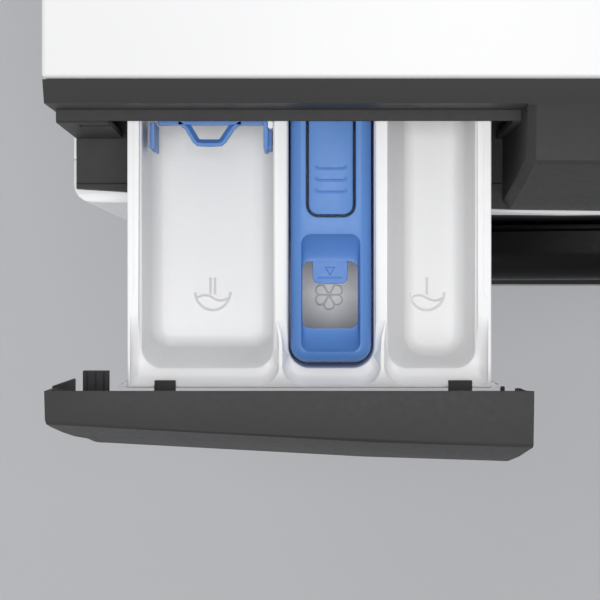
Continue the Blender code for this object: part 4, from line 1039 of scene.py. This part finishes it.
def make_door():
    """The outer ring with its pull well, the glass bowl and a bright trim between them."""
    back, front = -0.2240, -0.2485
    bm = bmesh.new()
    turn(bm, [
        (0.1560, back), (0.2272, back), (0.2280, back - 0.0008), (0.2280, -0.2347),
        (0.2276, -0.2365), (0.2250, -0.2421), (0.2226, -0.2445), (0.2196, -0.2466),
        (0.2160, -0.2481), (0.2130, front), (0.1790, front), (0.1776, -0.2482), (0.1762, -0.2477),
        (0.1612, -0.2405), (0.1600, -0.2400), (0.1562, -0.2400), (0.1560, -0.2398),
    ], 192)
    well = bmesh.new()
    outline = rounded((0.1830, 0.2160), (0.4050, 0.4950), 0.0060)
    plate(well, outline, (-0.26, back - 0.0040))
    bm = carve(bm, well)
    add_piece("door_ring_moulding", bm, "door", "black_plastic", ["door_outer_ring"])
    bm = bmesh.new()
    turn(bm, [(0.1770, -0.24795), (0.1776, -0.2484), (0.1790, -0.24848), (0.1797, -0.2480)], 192)
    add_piece("door_ring_trim", bm, "door", "zinc_steel")
    bm = bmesh.new()
    outer = smooth_profile([(0.0008, -0.1140), (0.0500, -0.1142), (0.0950, -0.1156),
                            (0.1155, -0.1185), (0.1262, -0.1270), (0.1330, -0.1450),
                            (0.1362, -0.1600), (0.1402, -0.2000), (0.1440, -0.2280)])
    inner = smooth_profile([(0.1440, -0.2000), (0.1400, -0.1600), (0.1368, -0.1400),
                            (0.1300, -0.1228), (0.1185, -0.1150), (0.0950, -0.1117),
                            (0.0500, -0.1103), (0.0008, -0.1100)])
    turn(bm, outer + [(0.1480, -0.2330), (0.1552, -0.2330), (0.1552, -0.2260),
                      (0.1480, -0.2242)] + inner, 160)
    add_piece("door_glass_bowl", bm, "door", "smoked_glass", ["door_glass"], 40.0)


def make_gasket():
    """The folded rubber, which stretches between the door hole and the tub."""
    bm = bmesh.new()
    outer = smooth_profile([(0.1640, -0.2110), (0.1790, -0.2072), (0.1800, -0.2020),
                            (0.1790, -0.1972), (0.1695, -0.1930), (0.1690, -0.1890),
                            (0.1700, -0.1848), (0.1750, -0.1800), (0.1752, -0.1760)], 3)
    inner = smooth_profile([(0.1722, -0.1760), (0.1715, -0.1790), (0.1664, -0.1840),
                            (0.1660, -0.1890), (0.1668, -0.1950), (0.1760, -0.1990),
                            (0.1770, -0.2020), (0.1758, -0.2050), (0.1604, -0.2095)], 3)
    turn(bm, [(0.1502, -0.2195), (0.1624, -0.2195), (0.1626, -0.2150), (0.1670, -0.2150),
              (0.1670, -0.2125)] + outer + [(0.1752, -0.1620), (0.1722, -0.1620)] + inner
         + [(0.1590, -0.2150), (0.1502, -0.2172), (0.1500, -0.2184)], 160)
    blended = add_piece("door_gasket_bellows", bm, None, "grey_rubber", ["door_gasket"], 50.0)
    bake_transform(blended)


def make_springs():
    """Two tub springs with a hook at each end, fixed to the cabinet above."""
    for side, node_name in ((-1, "spring_left"), (1, "spring_right")):
        x0, y0, turns, per_turn = side * 0.2770, 0.1050, 13, 20
        path = [(x0, y0, 0.6010), (x0, y0, 0.6120)]
        for i in range(turns * per_turn + 1):
            angle = 2 * math.pi * i / per_turn
            ease = min(1.0, i / 12, (turns * per_turn - i) / 12)
            reach = 0.0100 * ease
            path.append((x0 + reach * math.sin(angle), y0 + reach * math.cos(angle),
                         0.6230 + 0.1720 * i / (turns * per_turn)))
        path += [(x0, y0, 0.8040), (x0, y0, 0.8140)]
        bm = bmesh.new()
        wire(bm, path, 0.0015, 8)
        piece = add_piece(f"{node_name}_coil", bm, None, "zinc_steel", [node_name], 60.0)
        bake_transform(piece)


def make_hoses():
    """The two short rubber hoses, ribbed between their plain ends."""
    bm = bmesh.new()
    low, high = (corner.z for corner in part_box("dispenser_hose"))
    count = 56
    path = [(-0.19, 0.02, low + (high - low) * i / count) for i in range(count + 1)]
    wire(bm, path, lambda i: 0.0135 - (0.0016 if 8 < i < 48 and i % 4 < 2 else 0.0), 40)
    hose = add_piece("dispenser_hose_bellows", bm, None, "black_rubber", ["dispenser_hose"], 60.0)
    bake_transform(hose)
    bm = bmesh.new()
    bends = [(0.070, 0.1970), (0.070, 0.1860), (0.074, 0.1720), (0.088, 0.1610), (0.110, 0.1570),
             (0.140, 0.1570), (0.170, 0.1570), (0.192, 0.1530), (0.206, 0.1420), (0.210, 0.1280),
             (0.210, 0.1150)]
    path = [(x, -0.120, z) for x, z in smooth_profile(bends, 6)]
    wire(bm, path, lambda i: 0.0125 - (0.0014 if 20 < i < 42 and i % 4 < 2 else 0.0), 36)
    hose = add_piece("sump_hose_bellows", bm, None, "black_rubber", ["sump_hose"], 60.0)
    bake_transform(hose)


def perforated(name, colour):
    """Stainless sheet with rows of small dark holes all round the drum's axis."""
    made = Shader(name, colour, 0.24, Metallic=1.0)
    maths = made.maths
    holes_round, pitch, radius = 216, 0.0135, 0.17       # the radius is in pitches
    x, y, height = made.split()
    around = maths("MULTIPLY", maths("ARCTAN2", height, x), 0.5 * holes_round / math.pi)
    row = maths("MULTIPLY", y, 1.0 / pitch)
    shift = maths("MULTIPLY", maths("FLOOR", row), 0.5)
    u = maths("SUBTRACT", maths("FRACT", maths("ADD", around, shift)), 0.5)
    v = maths("SUBTRACT", maths("FRACT", row), 0.5)
    hole = maths("LESS_THAN", made.reach(u, v), radius)
    made.feed("Base Color", made.ramp(hole, (0.0, colour), (1.0, 0.012)))
    made.feed("Metallic", maths("SUBTRACT", 1.0, hole))
    made.bump(maths("MULTIPLY", hole, -1.0), 0.0004, 0.8)
    return made.material


def make_drum():
    """The basket at full smoothness, in perforated steel, and its three lifters."""
    basket = refine("drum_basket", 0.0006)
    basket.data.materials[0] = perforated("steel_perforated", (0.62, 0.625, 0.64))
    for k in (1, 2, 3):
        refine(f"drum_lifter_{k}", 0.0060, 4)


make_door()
make_gasket()
make_springs()
make_hoses()
make_drum()
